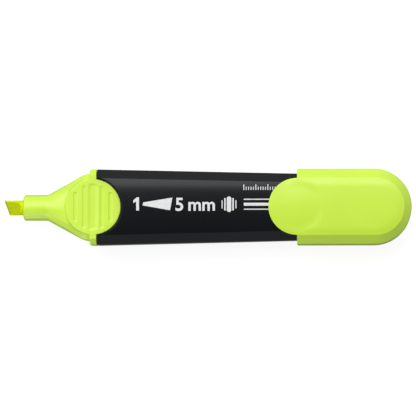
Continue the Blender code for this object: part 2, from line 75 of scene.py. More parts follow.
# Clearances and walls, as the CAD has them
GAP = 0.3 * MM
FIT_GAP = 0.25 * MM
BARREL_WALL = 1.5 * MM
SECTION_WALL = 1.3 * MM
CAP_WALL = 1.1 * MM
PLUG_WALL = 1.0 * MM
SEAL_WALL = 0.9 * MM
CAP_STEP = CAP_WALL + FIT_GAP

# Front section
FLANGE_LENGTH = 2.2 * MM
SEAT_LENGTH = 0.2 * MM
FLARE_LENGTH = 14.95 * MM
NOSE_RADIUS = 4.3 * MM
NOSE_REACH = 0.2 * MM
NOSE_ROUNDING = 0.85 * MM
NOSE_FRONT_INSET = 1.2 * MM
FLARE_START_BLEND = 0.085
FLARE_END_BLEND = 0.25
SEAT_RELIEF = 0.13 * MM
SLEEVE_LENGTH = 14.5 * MM
CAVITY_DEPTH = 5.7 * MM
NIB_RADIUS = 2.5 * MM
NIB_BORE_RADIUS = 3.1 * MM
GUIDE_RADIUS = 4.0 * MM
GUIDE_BACK = 5.3 * MM
FLANGE_UNDERCUT = 0.8 * MM
FLANGE_UNDERCUT_LENGTH = 0.5 * MM
NIB_MOUTH_SOFT = 0.35 * MM
NIB_RIB_WIDTH = 0.8 * MM
NIB_RIB_COUNT = 4
EDGE_SOFT = 0.18 * MM

# Thumb disc
DISC_FILLET = 0.8 * MM
DISC_FILLET_SHARE = 0.85
DISC_FILLET_LEAST = 0.05 * MM
DISC_FOOT_SINK = 0.02 * MM
DISC_WALL_STEP = 0.4 * MM
DISC_ROOT_INSET = 0.1 * MM
DISC_ROOT_DEPTH = CAP_STEP + 0.9 * MM
DISC_EDGE_SOFT = 0.25 * MM
DISC_RELIEF = 1.3 * MM
GROOVE_COUNT = 5
GROOVE_PITCH = 2.95 * MM
GROOVE_HALF = 0.62 * MM
GROOVE_DEPTH = 0.26 * MM
GROOVE_RIM = 1.6 * MM
GROOVE_MIDDLE_SCALE = 2.3
SLOT_HALF_LENGTH = 6.0 * MM
SLOT_SOFT = 0.16 * MM
FILLET_STEPS = 8
NOTCH_CLEARANCE = 0.42 * MM
NOTCH_LEDGE = 1.1 * MM
NOTCH_SOFT = 0.08 * MM
LEDGE_CLEARANCE = 0.08 * MM

# Nib
CHISEL_REACH = 0.45 * MM
CHISEL_LENGTH = 5.85 * MM
CHISEL_RUNOUT = 2.0 * MM
CHISEL_ROOT_HALF = 1.68 * MM
CHISEL_TIP_HALF = 1.5 * MM
CHISEL_SLANT = 0.375
CHISEL_BEVEL = 0.65 * MM
CHISEL_BEVEL_DROP = 0.95 * MM
CHISEL_BEVEL_BEND = 1.15
CHISEL_OVERCUT = 0.02 * MM
NIB_TAIL_RADIUS = 1.6 * MM

# Rear plug and cap
PLUG_SKIRT = 5.2 * MM
PLUG_DIMPLE = 2.2 * MM
PLUG_DIMPLE_DEPTH = 0.5 * MM
PLUG_EDGE_SOFT = 0.4 * MM
CAP_END_BEVEL = 2.4 * MM
CAP_PAD_RADIUS = 7.4 * MM
CAP_PAD_BLEND = 3.4 * MM
CAP_PAD_DOME = 0.13 * MM
CAP_PAD_WALL = 2.2 * MM
PAD_LEAST_HEIGHT = 1.5 * MM
CAP_ROW_PITCH = 0.7 * MM
RIB_START = 15.35 * MM
RIB_LENGTH = 12.5 * MM
RIB_THICKNESS = 1.0 * MM
RIB_COUNT = 4
RAIL_SPACING = 8.0 * MM
RAIL_WIDTH = 1.2 * MM
RAIL_SETBACK = 3.0 * MM
POST_RADIUS = 3.0 * MM
SEAL_BASE = 1.0 * MM
SEAL_SOFT = 0.3 * MM
EAR_LENGTH = 1.0 * MM
EAR_HALF_WIDTH = 1.5 * MM

# Printing
PRINT_LIFT = 0.012 * MM
PRINT_THICKNESS = 0.02 * MM
PRINT_STRIP = 0.45 * MM
PRINT_MIDDLE = 0.9 * MM
PRINT_LEFT = -24.5 * MM
FIGURE_HEIGHT = 4.4 * MM
FIGURE_WEIGHT = 0.12 * MM
CAPITAL_SHARE = 0.73
STEM_WIDTH = 0.95 * MM
STROKE_START = 3.1 * MM
STROKE_END = 13.0 * MM
STROKE_THIN = 0.5 * MM
STROKE_BROAD = 2.1 * MM
STROKE_SLANT = 0.8 * MM
EMBLEM_PLACE = 7.3 * MM
EMBLEM_BARS = ((0, 1.5, 5.2), (1.35, 0.5, 4.2), (-1.35, 0.5, 4.2), (2.3, 0.35, 2.8), (-2.3, 0.35, 2.8))
LINES_START = 12.2 * MM
LINES_END = 25.0 * MM
LINES = ((2.4, 0.18), (0.75, 0.5), (-0.9, 0.18))
RULER_BASE = 5.5 * MM
TICK_COUNT = 14
TICK_PITCH = 0.8 * MM
TICK_WIDTH = 0.28 * MM
TICK_SHORT = 1.1 * MM
TICK_LONG = 1.9 * MM

# Light and camera
ROOM_TINT = (0.97, 0.985, 1.0, 1)
LAMP_TINT = (1.0, 0.995, 0.985)
ROOM_NEAR = 0.475
ROOM_FAR = 0.61
BELOW_SHARE = 0.35
DARK_PATCH_SHARE = 0.18
DARK_PATCH_DIRECTION = (0.0, -0.28, 1.0)
DARK_PATCH_INNER = math.radians(17)
DARK_PATCH_OUTER = math.radians(30)
SOFT_BOX_DIRECTION = (-0.24, 0.52, 0.84)
SOFT_BOX_DISTANCE = 1.0
SOFT_BOX_SIZE = (1.25, 0.80)
SOFT_BOX_POWER = 8.6
FILL_PLACE = (-0.072, -0.05, 0.02)
FILL_TARGET = (-0.065, 0.0, 0.008)
FILL_SIZE = (0.03, 0.03)
FILL_POWER = 0.0063
FLOOR_GLOW = 0.89
FLOOR_HALF = 1.5
CAMERA_LENS = 285.5

# Facets
ARC_STEPS = 5
FACE_STEPS = 20
FLARE_STEPS = 48
RUNOUT_STEPS = 14
SLOT_END_STEPS = 12
BAR_END_STEPS = 8
ROUND_STEPS = 96
BEND_STEPS = 72
SHARP_ANGLE = math.radians(32)
SLIVER = 0.001 * MM

# Places, from the frame
LOW, HIGH = cad_box
AXIS = (LOW.z + HIGH.z) / 2
HALF_WIDTH = (HIGH.y - LOW.y) / 2
HALF_THICKNESS = (HIGH.z - LOW.z) / 2
CAMERA_PLACE = (0.053, -0.052, AXIS + 1.1)
CAMERA_TARGET = (-0.00002, -0.00015, AXIS)
NIB_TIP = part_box("nib")[0].x - CHISEL_REACH
NOSE_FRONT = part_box("front_section")[0].x - NOSE_REACH
BARREL_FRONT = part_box("barrel")[0].x
BARREL_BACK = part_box("barrel")[1].x
PLUG_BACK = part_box("rear_plug")[1].x
CAP_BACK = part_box("cap_shell")[1].x
FLANGE_BACK = BARREL_FRONT - GAP
FLANGE_FRONT = FLANGE_BACK - FLANGE_LENGTH
SEAT_FRONT = FLANGE_FRONT - SEAT_LENGTH
FLARE_FRONT = SEAT_FRONT - FLARE_LENGTH
SLEEVE_BACK = BARREL_FRONT + SLEEVE_LENGTH
DISC_X = (FLANGE_FRONT + FLANGE_BACK) / 2
SOCKET_RADIUS = HALF_WIDTH - CHAMFER - 0.05 * MM
DISC_RADIUS = SOCKET_RADIUS - 0.22 * MM
DISC_TOP = HALF_THICKNESS - CAP_STEP
CAP_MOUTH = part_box("cap_shell")[0].x + SOCKET_RADIUS + 0.3 * MM
CAP_BEND = CAP_BACK - HALF_WIDTH
REACH = 20 * MM


# ---------------------------------------------------------------- mesh helpers


def new_piece(name, bm, sharp=SHARP_ANGLE):
    """A smooth-shaded object from bm, with its faces pointing outwards."""
    bmesh.ops.recalc_face_normals(bm, faces=bm.faces)
    mesh = bpy.data.meshes.new(name)
    bm.to_mesh(mesh)
    bm.free()
    mesh.shade_smooth()
    mesh.set_sharp_from_angle(angle=sharp)
    obj = bpy.data.objects.new(name, mesh)
    bpy.context.scene.collection.objects.link(obj)
    return obj


def carve(obj, operation, *tools):
    """Cuts or joins the tools, objects or unfinished meshes, into the object, and removes them."""
    tools = [new_piece("tool", t) if isinstance(t, bmesh.types.BMesh) else t for t in tools]
    for tool in tools:
        step = obj.modifiers.new("step", "BOOLEAN")
        step.operation = operation
        step.solver = "EXACT"
        step.object = tool
    settle(obj)
    for tool in tools:
        bpy.data.objects.remove(tool)
    return obj


def settle(obj):
    """Turns the object's modifiers into its mesh."""
    bpy.context.view_layer.update()
    seen = obj.evaluated_get(bpy.context.evaluated_depsgraph_get())
    mesh = bpy.data.meshes.new_from_object(seen)
    obj.modifiers.clear()
    obj.data = mesh


def polish(obj, sharp=SHARP_ANGLE):
    """Merges the slivers that cuts leave, and shades the curves smooth and the flat faces flat."""
    bm = bmesh.new()
    bm.from_mesh(obj.data)
    bmesh.ops.remove_doubles(bm, verts=bm.verts, dist=SLIVER)
    bmesh.ops.dissolve_degenerate(bm, edges=bm.edges, dist=SLIVER)
    bm.to_mesh(obj.data)
    bm.free()
    obj.data.shade_smooth()
    obj.data.set_sharp_from_angle(angle=sharp)
    weighted = obj.modifiers.new("flat faces", "WEIGHTED_NORMAL")
    weighted.keep_sharp = True
    settle(obj)
    return obj


def finish_piece(obj, body, slot, surface, *nodes):
    """Gives a piece its surface, puts it under its body's empty, and hides the CAD nodes that it stands
    for.
    """
    if surface.name not in [m.name for m in obj.data.materials if m]:
        obj.data.materials.clear()
        obj.data.materials.append(surface)
    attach(obj, body)
    if nodes:
        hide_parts(*nodes)
    return obj


class Nodes:
    """A node tree, with short calls that add its nodes."""

    def __init__(self, tree):
        self.tree = tree

    def link(self, value, socket):
        """Feeds a socket from another one, or sets it."""
        if isinstance(value, bpy.types.NodeSocket):
            self.tree.links.new(value, socket)
        else:
            socket.default_value = value

    def add(self, kind, **values):
        """A new node. A name with a capital is one of its inputs, and any other is a setting."""
        node = self.tree.nodes.new(kind)
        for name, value in values.items():
            if name[0].isupper():
                self.link(value, node.inputs[name.replace("_", " ")])
            else:
                setattr(node, name, value)
        return node

    def maths(self, operation, *values):
        node = self.add("ShaderNodeMath", operation=operation)
        for value, socket in zip(values, node.inputs):
            self.link(value, socket)
        return node.outputs[0]

    def spread(self, value, span, levels, **settings):
        """Carries a value's span over to a pair of levels."""
        ends = zip(("From Min", "From Max", "To Min", "To Max"), (*span, *levels))
        return self.add("ShaderNodeMapRange", **settings, Value=value, **dict(ends)).outputs["Result"]


class Growth(Nodes):
    """A Geometry Nodes tree with named inputs, and the values that they are given."""

    KINDS = {
        int: "NodeSocketInt",
        float: "NodeSocketFloat",
        tuple: "NodeSocketVector",
        bpy.types.Object: "NodeSocketObject",
        bpy.types.Material: "NodeSocketMaterial",
    }

    def __init__(self, name, values):
        super().__init__(bpy.data.node_groups.new(name, "GeometryNodeTree"))
        sockets = self.tree.interface
        sockets.new_socket("Geometry", in_out="OUTPUT", socket_type="NodeSocketGeometry")
        self.values = {}
        for label, value in values.items():
            made = sockets.new_socket(label, in_out="INPUT", socket_type=self.KINDS[type(value)])
            self.values[made.identifier] = value
        self.inputs = self.add("NodeGroupInput").outputs

    def __getitem__(self, label):
        return self.inputs[label]

    def vector(self, x, y, z):
        return self.add("ShaderNodeCombineXYZ", X=x, Y=y, Z=z).outputs[0]

    def position(self):
        return self.add("GeometryNodeInputPosition").outputs[0]

    def line(self, **values):
        return self.add("GeometryNodeMeshLine", mode="OFFSET", **values).outputs["Mesh"]

    def cube(self, *sizes):
        return self.add("GeometryNodeMeshCube", Size=self.vector(*sizes)).outputs["Mesh"]

    def placed(self, points, shape, **values):
        """The shape set on each of the points."""
        node = self.add("GeometryNodeInstanceOnPoints", Points=points, Instance=shape, **values)
        return node.outputs["Instances"]

    def moved(self, geometry, **values):
        return self.add("GeometryNodeTransform", Geometry=geometry, **values).outputs["Geometry"]

    def laid_along(self, geometry):
        """Turns what stands along Z to lie along the pen, and moves it to its place."""
        return self.moved(geometry, Translation=self["Place"], Rotation=(0, math.radians(90), 0))

    def grown(self, name, geometry):
        """The result as a plain mesh object. Every tree ends in Realize Instances and Set Material."""
        whole = self.add("GeometryNodeRealizeInstances", Geometry=geometry).outputs[0]
        dressed = self.add("GeometryNodeSetMaterial", Geometry=whole, Material=self["Finish"])
        self.add("NodeGroupOutput", Geometry=dressed.outputs[0])
        obj = bpy.data.objects.new(name, bpy.data.meshes.new(name))
        bpy.context.scene.collection.objects.link(obj)
        step = obj.modifiers.new(name, "NODES")
        step.node_group = self.tree
        for identifier, value in self.values.items():
            step[identifier] = value
        settle(obj)
        return obj


def bars_round(name, count, first_turn, span, reach, thickness, surface):
    """Bars along the pen, set round its axis at equal turns, from one radius to another."""
    g = Growth(
        "bars_round_the_axis",
        {
            "Count": count,
            "First Turn": first_turn,
            "Radius": (reach[0] + reach[1]) / 2,
            "Depth": reach[1] - reach[0],
            "Thickness": thickness,
            "Length": span[1] - span[0],
            "Place": ((span[0] + span[1]) / 2, 0, AXIS),
            "Finish": surface,
        },
    )
    ring = g.add("GeometryNodeMeshCircle", Vertices=g["Count"], Radius=g["Radius"])
    bar = g.cube(g["Depth"], g["Thickness"], g["Length"])
    facing = g.add("FunctionNodeAlignRotationToVector", axis="X", Vector=g.position())
    bars = g.placed(ring.outputs["Mesh"], bar, Rotation=facing.outputs["Rotation"])
    turned = g.moved(bars, Rotation=g.vector(0.0, 0.0, g["First Turn"]))
    return g.grown(name, g.laid_along(turned))


# ---------------------------------------------------------------- outlines across the pen


def rounded_corner(before, corner, after, radius, steps=ARC_STEPS):
    """Points of the arc that rounds a corner, from the side of before to the side of after."""
    into = [(a - c) / math.dist(before, corner) for a, c in zip(before, corner)]
    out = [(a - c) / math.dist(after, corner) for a, c in zip(after, corner)]
    half = math.acos(max(-1.0, min(1.0, into[0] * out[0] + into[1] * out[1]))) / 2
    tangent = radius / math.tan(half)
    middle = [i + o for i, o in zip(into, out)]
    scale = radius / math.sin(half) / math.hypot(*middle)
    centre = [c + m * scale for c, m in zip(corner, middle)]
    start = [c + i * tangent for c, i in zip(corner, into)]
    end = [c + o * tangent for c, o in zip(corner, out)]
    first = math.atan2(start[1] - centre[1], start[0] - centre[0])
    turn = math.atan2(end[1] - centre[1], end[0] - centre[0]) - first
    turn = (turn + math.pi) % (2 * math.pi) - math.pi
    return [
        (
            centre[0] + radius * math.cos(first + turn * k / steps),
            centre[1] + radius * math.sin(first + turn * k / steps),
        )
        for k in range(steps + 1)
    ]


class Crown:
    """A face's fall from its middle: a long gentle crown, then a steeper band along each edge."""

    def __init__(self, gentle, band_start, band_blend, band_slope):
        self.gentle, self.band_start = gentle, band_start
        self.band_blend, self.band_slope = band_blend, band_slope

    def drop(self, y, edge):
        y = min(abs(y), edge)
        past = max(0.0, y - (self.band_start + edge - FACE_EDGE))
        if past < self.band_blend:
            band = past * past / (2 * self.band_blend)
        else:
            band = past - self.band_blend / 2
        return self.gentle * (y / edge) ** 2 + self.band_slope * band

    def total(self, edge):
        return self.drop(edge, edge)


FACE_EDGE = HALF_WIDTH - CHAMFER
NO_CROWN = Crown(0, FACE_EDGE, MM, 0)
BARREL_CROWN = Crown(0.30 * MM, 5.8 * MM, 2.5 * MM, 0.05)
CAP_CROWN = Crown(0.30 * MM, 6.5 * MM, 1.7 * MM, 0.15)


def quarter(half_width, half_thickness, chamfer, crown=NO_CROWN):
    """The outline's first quarter, from the side's middle (+Y) to the face's middle (+Z)."""
    side = (half_width, half_thickness - chamfer)
    edge = (half_width - chamfer, half_thickness - crown.total(half_width - chamfer))
    across = [edge[0] * (1 - k / FACE_STEPS) for k in range(1, FACE_STEPS)]
    face = [(y, half_thickness - crown.drop(y, edge[0])) for y in across]
    side_radius = min(SIDE_EDGE_RADIUS, chamfer)
    edge_radius = min(FACE_EDGE_RADIUS, chamfer / 2)
    return [
        (half_width, 0.0),
        (half_width, side[1] / 2),
        *rounded_corner((half_width, 0.0), side, edge, side_radius),
        *rounded_corner(side, edge, face[0], edge_radius),
        *face,
        (0.0, half_thickness),
    ]


def all_round(first_quarter):
    upper = first_quarter + [(-y, z) for y, z in reversed(first_quarter[:-1])]
    return upper + [(-y, -z) for y, z in upper[1:-1]]


def body_outline(inset=0.0):
    chamfer = CHAMFER - INSET_CHAMFER * inset
    return all_round(quarter(HALF_WIDTH - inset, HALF_THICKNESS - inset, chamfer, BARREL_CROWN))


def barrel_inset(x):
    return TAPER * (x - BARREL_FRONT)


def barrel_outline(x, inset=0.0):
    taken = barrel_inset(x) + inset
    return all_round(quarter(HALF_WIDTH - taken, HALF_THICKNESS - taken, CHAMFER, BARREL_CROWN))


def inner_outline(x, further=0.0):
    """The barrel's inside at x, or a piece that fits in it with the further inset."""
    wall = BARREL_WALL + further
    taken = barrel_inset(x) + wall
    chamfer = CHAMFER - INSET_CHAMFER * wall
    return all_round(quarter(HALF_WIDTH - taken, HALF_THICKNESS - taken, chamfer))


def unit_angles():
    """The angle of each point of the outline, once the outline is squeezed into a circle."""
    return [math.atan2(z / HALF_THICKNESS, y / HALF_WIDTH) for y, z in body_outline()]


UNIT_ANGLES = unit_angles()


def round_outline(radius, other_radius=None):
    other = radius if other_radius is None else other_radius
    return [(radius * math.cos(a), other * math.sin(a)) for a in UNIT_ANGLES]


def circle(radius, steps=ROUND_STEPS):
    turns = [2 * math.pi * k / steps for k in range(steps)]
    return [(radius * math.cos(a), radius * math.sin(a)) for a in turns]


def fine_circle(radius):
    return circle(radius, 2 * ROUND_STEPS)


def mixed(first, second, share):
    return [(a + (c - a) * share, b + (d - b) * share) for (a, b), (c, d) in zip(first, second)]


def quarter_turn(radius, steps=ARC_STEPS):
    """(along, inset) steps of a quarter-round edge, from the end face to the full size."""
    turns = [math.pi / 2 * (1 - k / steps) for k in range(steps + 1)]
    return [(radius * (1 - math.sin(a)), radius * (1 - math.cos(a))) for a in turns]


# ---------------------------------------------------------------- solids


def weave(bm, near, far):
    """Faces between two rows of points."""
    for k in range(len(near) - 1):
        bm.faces.new((near[k], near[k + 1], far[k + 1], far[k]))


def skin(rings, ring_shut=False):
    """A skin through rings of points, filled at both ends. A shut one is joined end to end instead."""
    bm = bmesh.new()
    made = [[bm.verts.new(p) for p in ring] for ring in rings]
    for near, far in zip(made, made[1:] + made[:1] if ring_shut else made[1:]):
        weave(bm, near + near[:1], far + far[:1])
    if not ring_shut:
        bm.faces.new(made[0])
        bm.faces.new(reversed(made[-1]))
    return bm


def loft(stations, ring_shut=False):
    """A skin through (x, outline) stations about the pen's axis. A shut one is a tube."""
    return skin([[(x, y, AXIS + z) for y, z in outline] for x, outline in stations], ring_shut)


def block(low, high):
    bm = bmesh.new()
    made = bmesh.ops.create_cube(bm, size=1)
    for vert in made["verts"]:
        vert.co = [l + (h - l) * (c + 0.5) for l, h, c in zip(low, high, vert.co)]
    return bm


def upright(x, outline_at, side, levels, lift=lambda x, y: 0.0):
    """A solid along Z through outlines at (level, size) pairs, turned to the lower face by side -1.

    Each point of it is lifted with the surface that it cuts.
    """
    rings = []
    for level, size in levels:
        points = [(x + a, b) for a, b in outline_at(size)]
        rings.append([(px, py, AXIS + side * (level + lift(px, py))) for px, py in points])
    return skin(rings)


def soft_ramp(u, start=FLARE_START_BLEND, end=FLARE_END_BLEND):
    """A straight ramp from 0 to 1 that starts and ends level."""
    slope = 1 / (1 - (start + end) / 2)
    if u < start:
        return slope * u * u / (2 * start)
    if u > 1 - end:
        return 1 - slope * (1 - u) ** 2 / (2 * end)
    return slope * (u - start / 2)


def smooth(u):
    return u * u * (3 - 2 * u)


# ---------------------------------------------------------------- barrel


def barrel_face(x, y):
    """How far the barrel's face at x, y lies below the full half-thickness."""
    taken = barrel_inset(x)
    return -taken - BARREL_CROWN.drop(y, HALF_WIDTH - CHAMFER - taken)


def notch_cutter(side):
    """The round notch in the front of a face, with a soft upper edge and a ledge low round the disc."""
    ledge = DISC_RADIUS + LEDGE_CLEARANCE
    radius = SOCKET_RADIUS + NOTCH_CLEARANCE
    ledge_top = HALF_THICKNESS - NOTCH_LEDGE
    levels = [(0.0, ledge), (ledge_top, ledge), (ledge_top + 0.05 * MM, radius)]
    for along, inset in reversed(quarter_turn(NOTCH_SOFT)):
        levels.append((HALF_THICKNESS - along, radius + inset))
    levels.append((HALF_THICKNESS + 1 * MM, radius + NOTCH_SOFT))
    return upright(DISC_X, fine_circle, side, levels, barrel_face)


def inside_rails(surface):
    """The four rails inside the barrel that the reservoir lies on."""
    start = SLEEVE_BACK + RAIL_SETBACK
    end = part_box("reservoir_core")[1].x - RAIL_SETBACK
    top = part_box("reservoir_film")[1].z - AXIS + FIT_GAP
    root = HALF_THICKNESS - barrel_inset(start) - BARREL_WALL / 2
    g = Growth(
        "inside_rails",
        {
            "Spacing": RAIL_SPACING,
            "Height": (root + top) / 2,
            "Length": end - start,
            "Width": RAIL_WIDTH,
            "Depth": root - top,
            "Place": ((start + end) / 2, 0, AXIS),
            "Finish": surface,
        },
    )
    across = g.maths("MULTIPLY", g["Height"], 2.0)
    grid = g.add("GeometryNodeMeshGrid", Vertices_X=2, Vertices_Y=2, Size_X=across, Size_Y=g["Spacing"])
    rail = g.cube(g["Depth"], g["Width"], g["Length"])
    return g.grown("rails", g.laid_along(g.placed(grid.outputs["Mesh"], rail)))


def make_barrel(surface):
    soft = quarter_turn(EDGE_SOFT)
    front = [(BARREL_FRONT + a, barrel_outline(BARREL_FRONT + a, i)) for a, i in soft]
    back = [(BARREL_BACK - a, barrel_outline(BARREL_BACK - a, i)) for a, i in reversed(soft)]
    bore = [(x, inner_outline(x)) for x in (BARREL_BACK, BARREL_FRONT)]
    barrel = new_piece("barrel_shell", loft(front + back + bore, ring_shut=True))
    carve(barrel, "DIFFERENCE", notch_cutter(1), notch_cutter(-1))
    rails = inside_rails(surface)
    near, far = min(v.co.x for v in rails.data.vertices), max(v.co.x for v in rails.data.vertices)
    room = [(x, inner_outline(x, -BARREL_WALL / 2)) for x in (near - GAP, far + GAP)]
    carve(rails, "INTERSECT", loft(room))
    carve(barrel, "UNION", rails)
    return polish(barrel)


# ---------------------------------------------------------------- front section


def flare_outline(u, inset=0.0):
    """The outside at a share u of the flare: round at the nose, and octagonal at the seat."""
    seat = CAP_STEP + SEAT_RELIEF
    grown = soft_ramp(u)
    half_width = NOSE_RADIUS + (HALF_WIDTH - seat - NOSE_RADIUS) * grown - inset
    half_thickness = NOSE_RADIUS + (HALF_THICKNESS - seat - NOSE_RADIUS) * grown - inset
    chamfer = CHAMFER - INSET_CHAMFER * (seat + inset)
    square = all_round(quarter(half_width, half_thickness, chamfer))
    return mixed(round_outline(half_width, half_thickness), square, smooth(u))


def section_outside():
    nose = [
        (NOSE_FRONT + a, round_outline(NOSE_RADIUS - i * NOSE_FRONT_INSET / NOSE_ROUNDING))
        for a, i in quarter_turn(NOSE_ROUNDING, 8)
    ]
    flare = [
        (FLARE_FRONT + FLARE_LENGTH * k / FLARE_STEPS, flare_outline(k / FLARE_STEPS))
        for k in range(FLARE_STEPS + 1)
    ]
    soft = quarter_turn(EDGE_SOFT)
    flange = [(FLANGE_FRONT + a, body_outline(i)) for a, i in soft]
    flange += [(FLANGE_BACK - a, body_outline(i)) for a, i in reversed(soft)]
    undercut_back = FLANGE_BACK + FLANGE_UNDERCUT_LENGTH
    undercut = inner_outline(BARREL_FRONT, FIT_GAP + FLANGE_UNDERCUT)
    sleeve = [
        (FLANGE_BACK, undercut),
        (undercut_back, undercut),
        (undercut_back, inner_outline(BARREL_FRONT, FIT_GAP)),
        (SLEEVE_BACK, inner_outline(SLEEVE_BACK, FIT_GAP)),
    ]
    return loft(nose + flare + [(FLANGE_FRONT, flare_outline(1))] + flange + sleeve)


def thumb_disc(side, body_tree):
    """The raised disc, which runs out into the flare with a fillet."""
    probe = 0.2 * MM
    columns = []
    for out_x, out_y in circle(1.0, 2 * ROUND_STEPS):
        out = Vector((out_x, out_y, 0))

        def height(distance):
            """The body's own height above the axis, at a distance from the disc's middle."""
            start = Vector((DISC_X, 0, AXIS + side * 2 * HALF_THICKNESS)) + out * distance
            hit = body_tree.ray_cast(start, Vector((0, 0, -side)))[0]
            return side * (hit.z - AXIS) if hit else 0.0

        rise = max(0.0, DISC_TOP - height(DISC_RADIUS))
        on_flare = DISC_X + out.x * DISC_RADIUS < SEAT_FRONT
        fillet = min(DISC_FILLET, DISC_FILLET_SHARE * rise) if on_flare else 0.0
        edge = quarter_turn(DISC_EDGE_SOFT)
        column = [(DISC_RADIUS - inset, DISC_TOP - along) for along, inset in edge]
        wall_top = DISC_TOP - DISC_EDGE_SOFT
        shares = [j / FILLET_STEPS for j in range(1, FILLET_STEPS + 1)]
        if fillet > DISC_FILLET_LEAST:
            foot = height(DISC_RADIUS + fillet)
            bend = foot - (height(DISC_RADIUS + fillet + probe) - foot) / probe * fillet
            top = min(wall_top, bend + fillet)
            for t in shares:
                z = (1 - t) ** 2 * top + 2 * t * (1 - t) * bend + t * t * foot
                column.append((DISC_RADIUS + fillet * t * t, z - DISC_FOOT_SINK * t))
        else:
            column += [(DISC_RADIUS, wall_top - DISC_WALL_STEP * t) for t in shares]
        column.append((DISC_RADIUS + fillet - DISC_ROOT_INSET, DISC_TOP - DISC_ROOT_DEPTH))
        columns.append([(out * r, z) for r, z in column])
    rings = [
        [(DISC_X + place.x, place.y, AXIS + side * z) for place, z in ring] for ring in zip(*columns)
    ]
    return skin(rings)


def slot_outline(grown):
    """A straight groove with round ends, its edge grown by this much."""
    return round_ended(GROOVE_HALF + grown, SLOT_HALF_LENGTH - GROOVE_HALF, SLOT_END_STEPS)


def slot_cutter(side):
    """The solid that cuts one groove at the disc's middle: sloping walls, soft above and below."""
    foot, soft = DISC_TOP - GROOVE_DEPTH, SLOT_SOFT
    levels = [(foot, -2.6 * soft), (foot + 0.1 * soft, -1.7 * soft), (foot + 0.5 * soft, -soft)]
    upper = ((-1.0, -0.45), (-0.45, 0.0), (-0.1, 0.6), (0.0, 1.3))
    levels += [(DISC_TOP + rise * soft, grown * soft) for rise, grown in upper]
    levels.append((DISC_TOP + 0.5 * MM, 1.4 * soft))
    return new_piece("slot_cutter", upright(0, slot_outline, side, levels))


def groove_row(cutter, surface):
    """Grooves side by side on the disc, each as long as it has room for, the middle one wider."""
    g = Growth(
        "groove_row",
        {
            "Count": GROOVE_COUNT,
            "Pitch": GROOVE_PITCH,
            "Reach": DISC_RADIUS - GROOVE_RIM,
            "Middle Scale": GROOVE_MIDDLE_SCALE,
            "Unit Length": SLOT_HALF_LENGTH,
            "Cutter": cutter,
            "Finish": surface,
        },
    )
    half_pitch = g.maths("MULTIPLY", g["Pitch"], 0.5)
    gaps = g.maths("SUBTRACT", 1.0, g["Count"])
    start = g.vector(g.maths("MULTIPLY", gaps, half_pitch), 0.0, 0.0)
    line = g.line(Count=g["Count"], Start_Location=start, Offset=g.vector(g["Pitch"], 0.0, 0.0))
    across = g.add("ShaderNodeSeparateXYZ", Vector=g.position()).outputs[0]
    squares = [g.maths("MULTIPLY", value, value) for value in (g["Reach"], across)]
    room = g.maths("SQRT", g.maths("SUBTRACT", *squares))
    in_middle = g.maths("LESS_THAN", g.maths("ABSOLUTE", across), half_pitch)
    widened = g.maths("MULTIPLY", in_middle, g.maths("SUBTRACT", g["Middle Scale"], 1.0))
    scale = g.vector(g.maths("ADD", widened, 1.0), g.maths("DIVIDE", room, g["Unit Length"]), 1.0)
    shape = g.add("GeometryNodeObjectInfo", Object=g["Cutter"]).outputs["Geometry"]
    made = g.grown("grooves", g.placed(line, shape, Scale=scale))
    bpy.data.objects.remove(cutter)
    made.data.transform(Matrix.Translation((DISC_X, 0, 0)))
    return made


def make_front_section(surface):
    outside = section_outside()
    body_tree = BVHTree.FromBMesh(outside)
    section = new_piece("front_section_moulding", outside)
    open_end = inner_outline(SLEEVE_BACK, FIT_GAP + SECTION_WALL)
    depth = SEAT_FRONT - CAVITY_DEPTH
    front = flare_outline(1 + (depth - SEAT_FRONT) / FLARE_LENGTH, SECTION_WALL)
    hollow = loft([(depth, front), (SEAT_FRONT, open_end), (SLEEVE_BACK + GAP, open_end)])
    carve(section, "DIFFERENCE", hollow)
    back = FLANGE_FRONT + GUIDE_BACK
    guide = loft([(FLARE_FRONT, circle(GUIDE_RADIUS - GAP)), (back, circle(GUIDE_RADIUS))])
    carve(section, "UNION", guide)
    relief = [(level, SOCKET_RADIUS + DISC_RELIEF) for level in (DISC_TOP, HALF_THICKNESS + GAP)]
    for side in (1, -1):
        carve(section, "DIFFERENCE", upright(DISC_X, fine_circle, side, relief))
        carve(section, "UNION", thumb_disc(side, body_tree))
        carve(section, "DIFFERENCE", groove_row(slot_cutter(side), surface))
    mouth = circle(NIB_BORE_RADIUS + NIB_MOUTH_SOFT)
    bore = [(NOSE_FRONT - GAP, mouth)]
    for along, inset in reversed(quarter_turn(NIB_MOUTH_SOFT)):
        radius = NIB_BORE_RADIUS + NIB_MOUTH_SOFT - inset
        bore.append((NOSE_FRONT + NIB_MOUTH_SOFT - along, circle(radius)))
    bore.append((back + GAP, circle(NIB_BORE_RADIUS)))
    carve(section, "DIFFERENCE", loft(bore))
    span = (NOSE_FRONT + 2 * NIB_RIB_WIDTH, back - NIB_RIB_WIDTH)
    reach = (NIB_RADIUS + FIT_GAP, (GUIDE_RADIUS + NIB_BORE_RADIUS) / 2)
    ribs = bars_round("nib_ribs", NIB_RIB_COUNT, math.pi / 4, span, reach, NIB_RIB_WIDTH, surface)
    carve(section, "UNION", ribs)
    return polish(section)


# ---------------------------------------------------------------- nib


def chisel_half(x):
    """Half the nib's thickness at x, where its faces are ground flat."""
    blade = NIB_TIP + CHISEL_LENGTH - CHISEL_RUNOUT
    full = NIB_RADIUS + CHISEL_OVERCUT
    if x >= NIB_TIP + CHISEL_LENGTH:
        return full
    if x >= blade:
        return CHISEL_ROOT_HALF + (full - CHISEL_ROOT_HALF) * ((x - blade) / CHISEL_RUNOUT) ** 2
    share = (x - NIB_TIP) / (blade - NIB_TIP)
    return CHISEL_TIP_HALF + (CHISEL_ROOT_HALF - CHISEL_TIP_HALF) * share


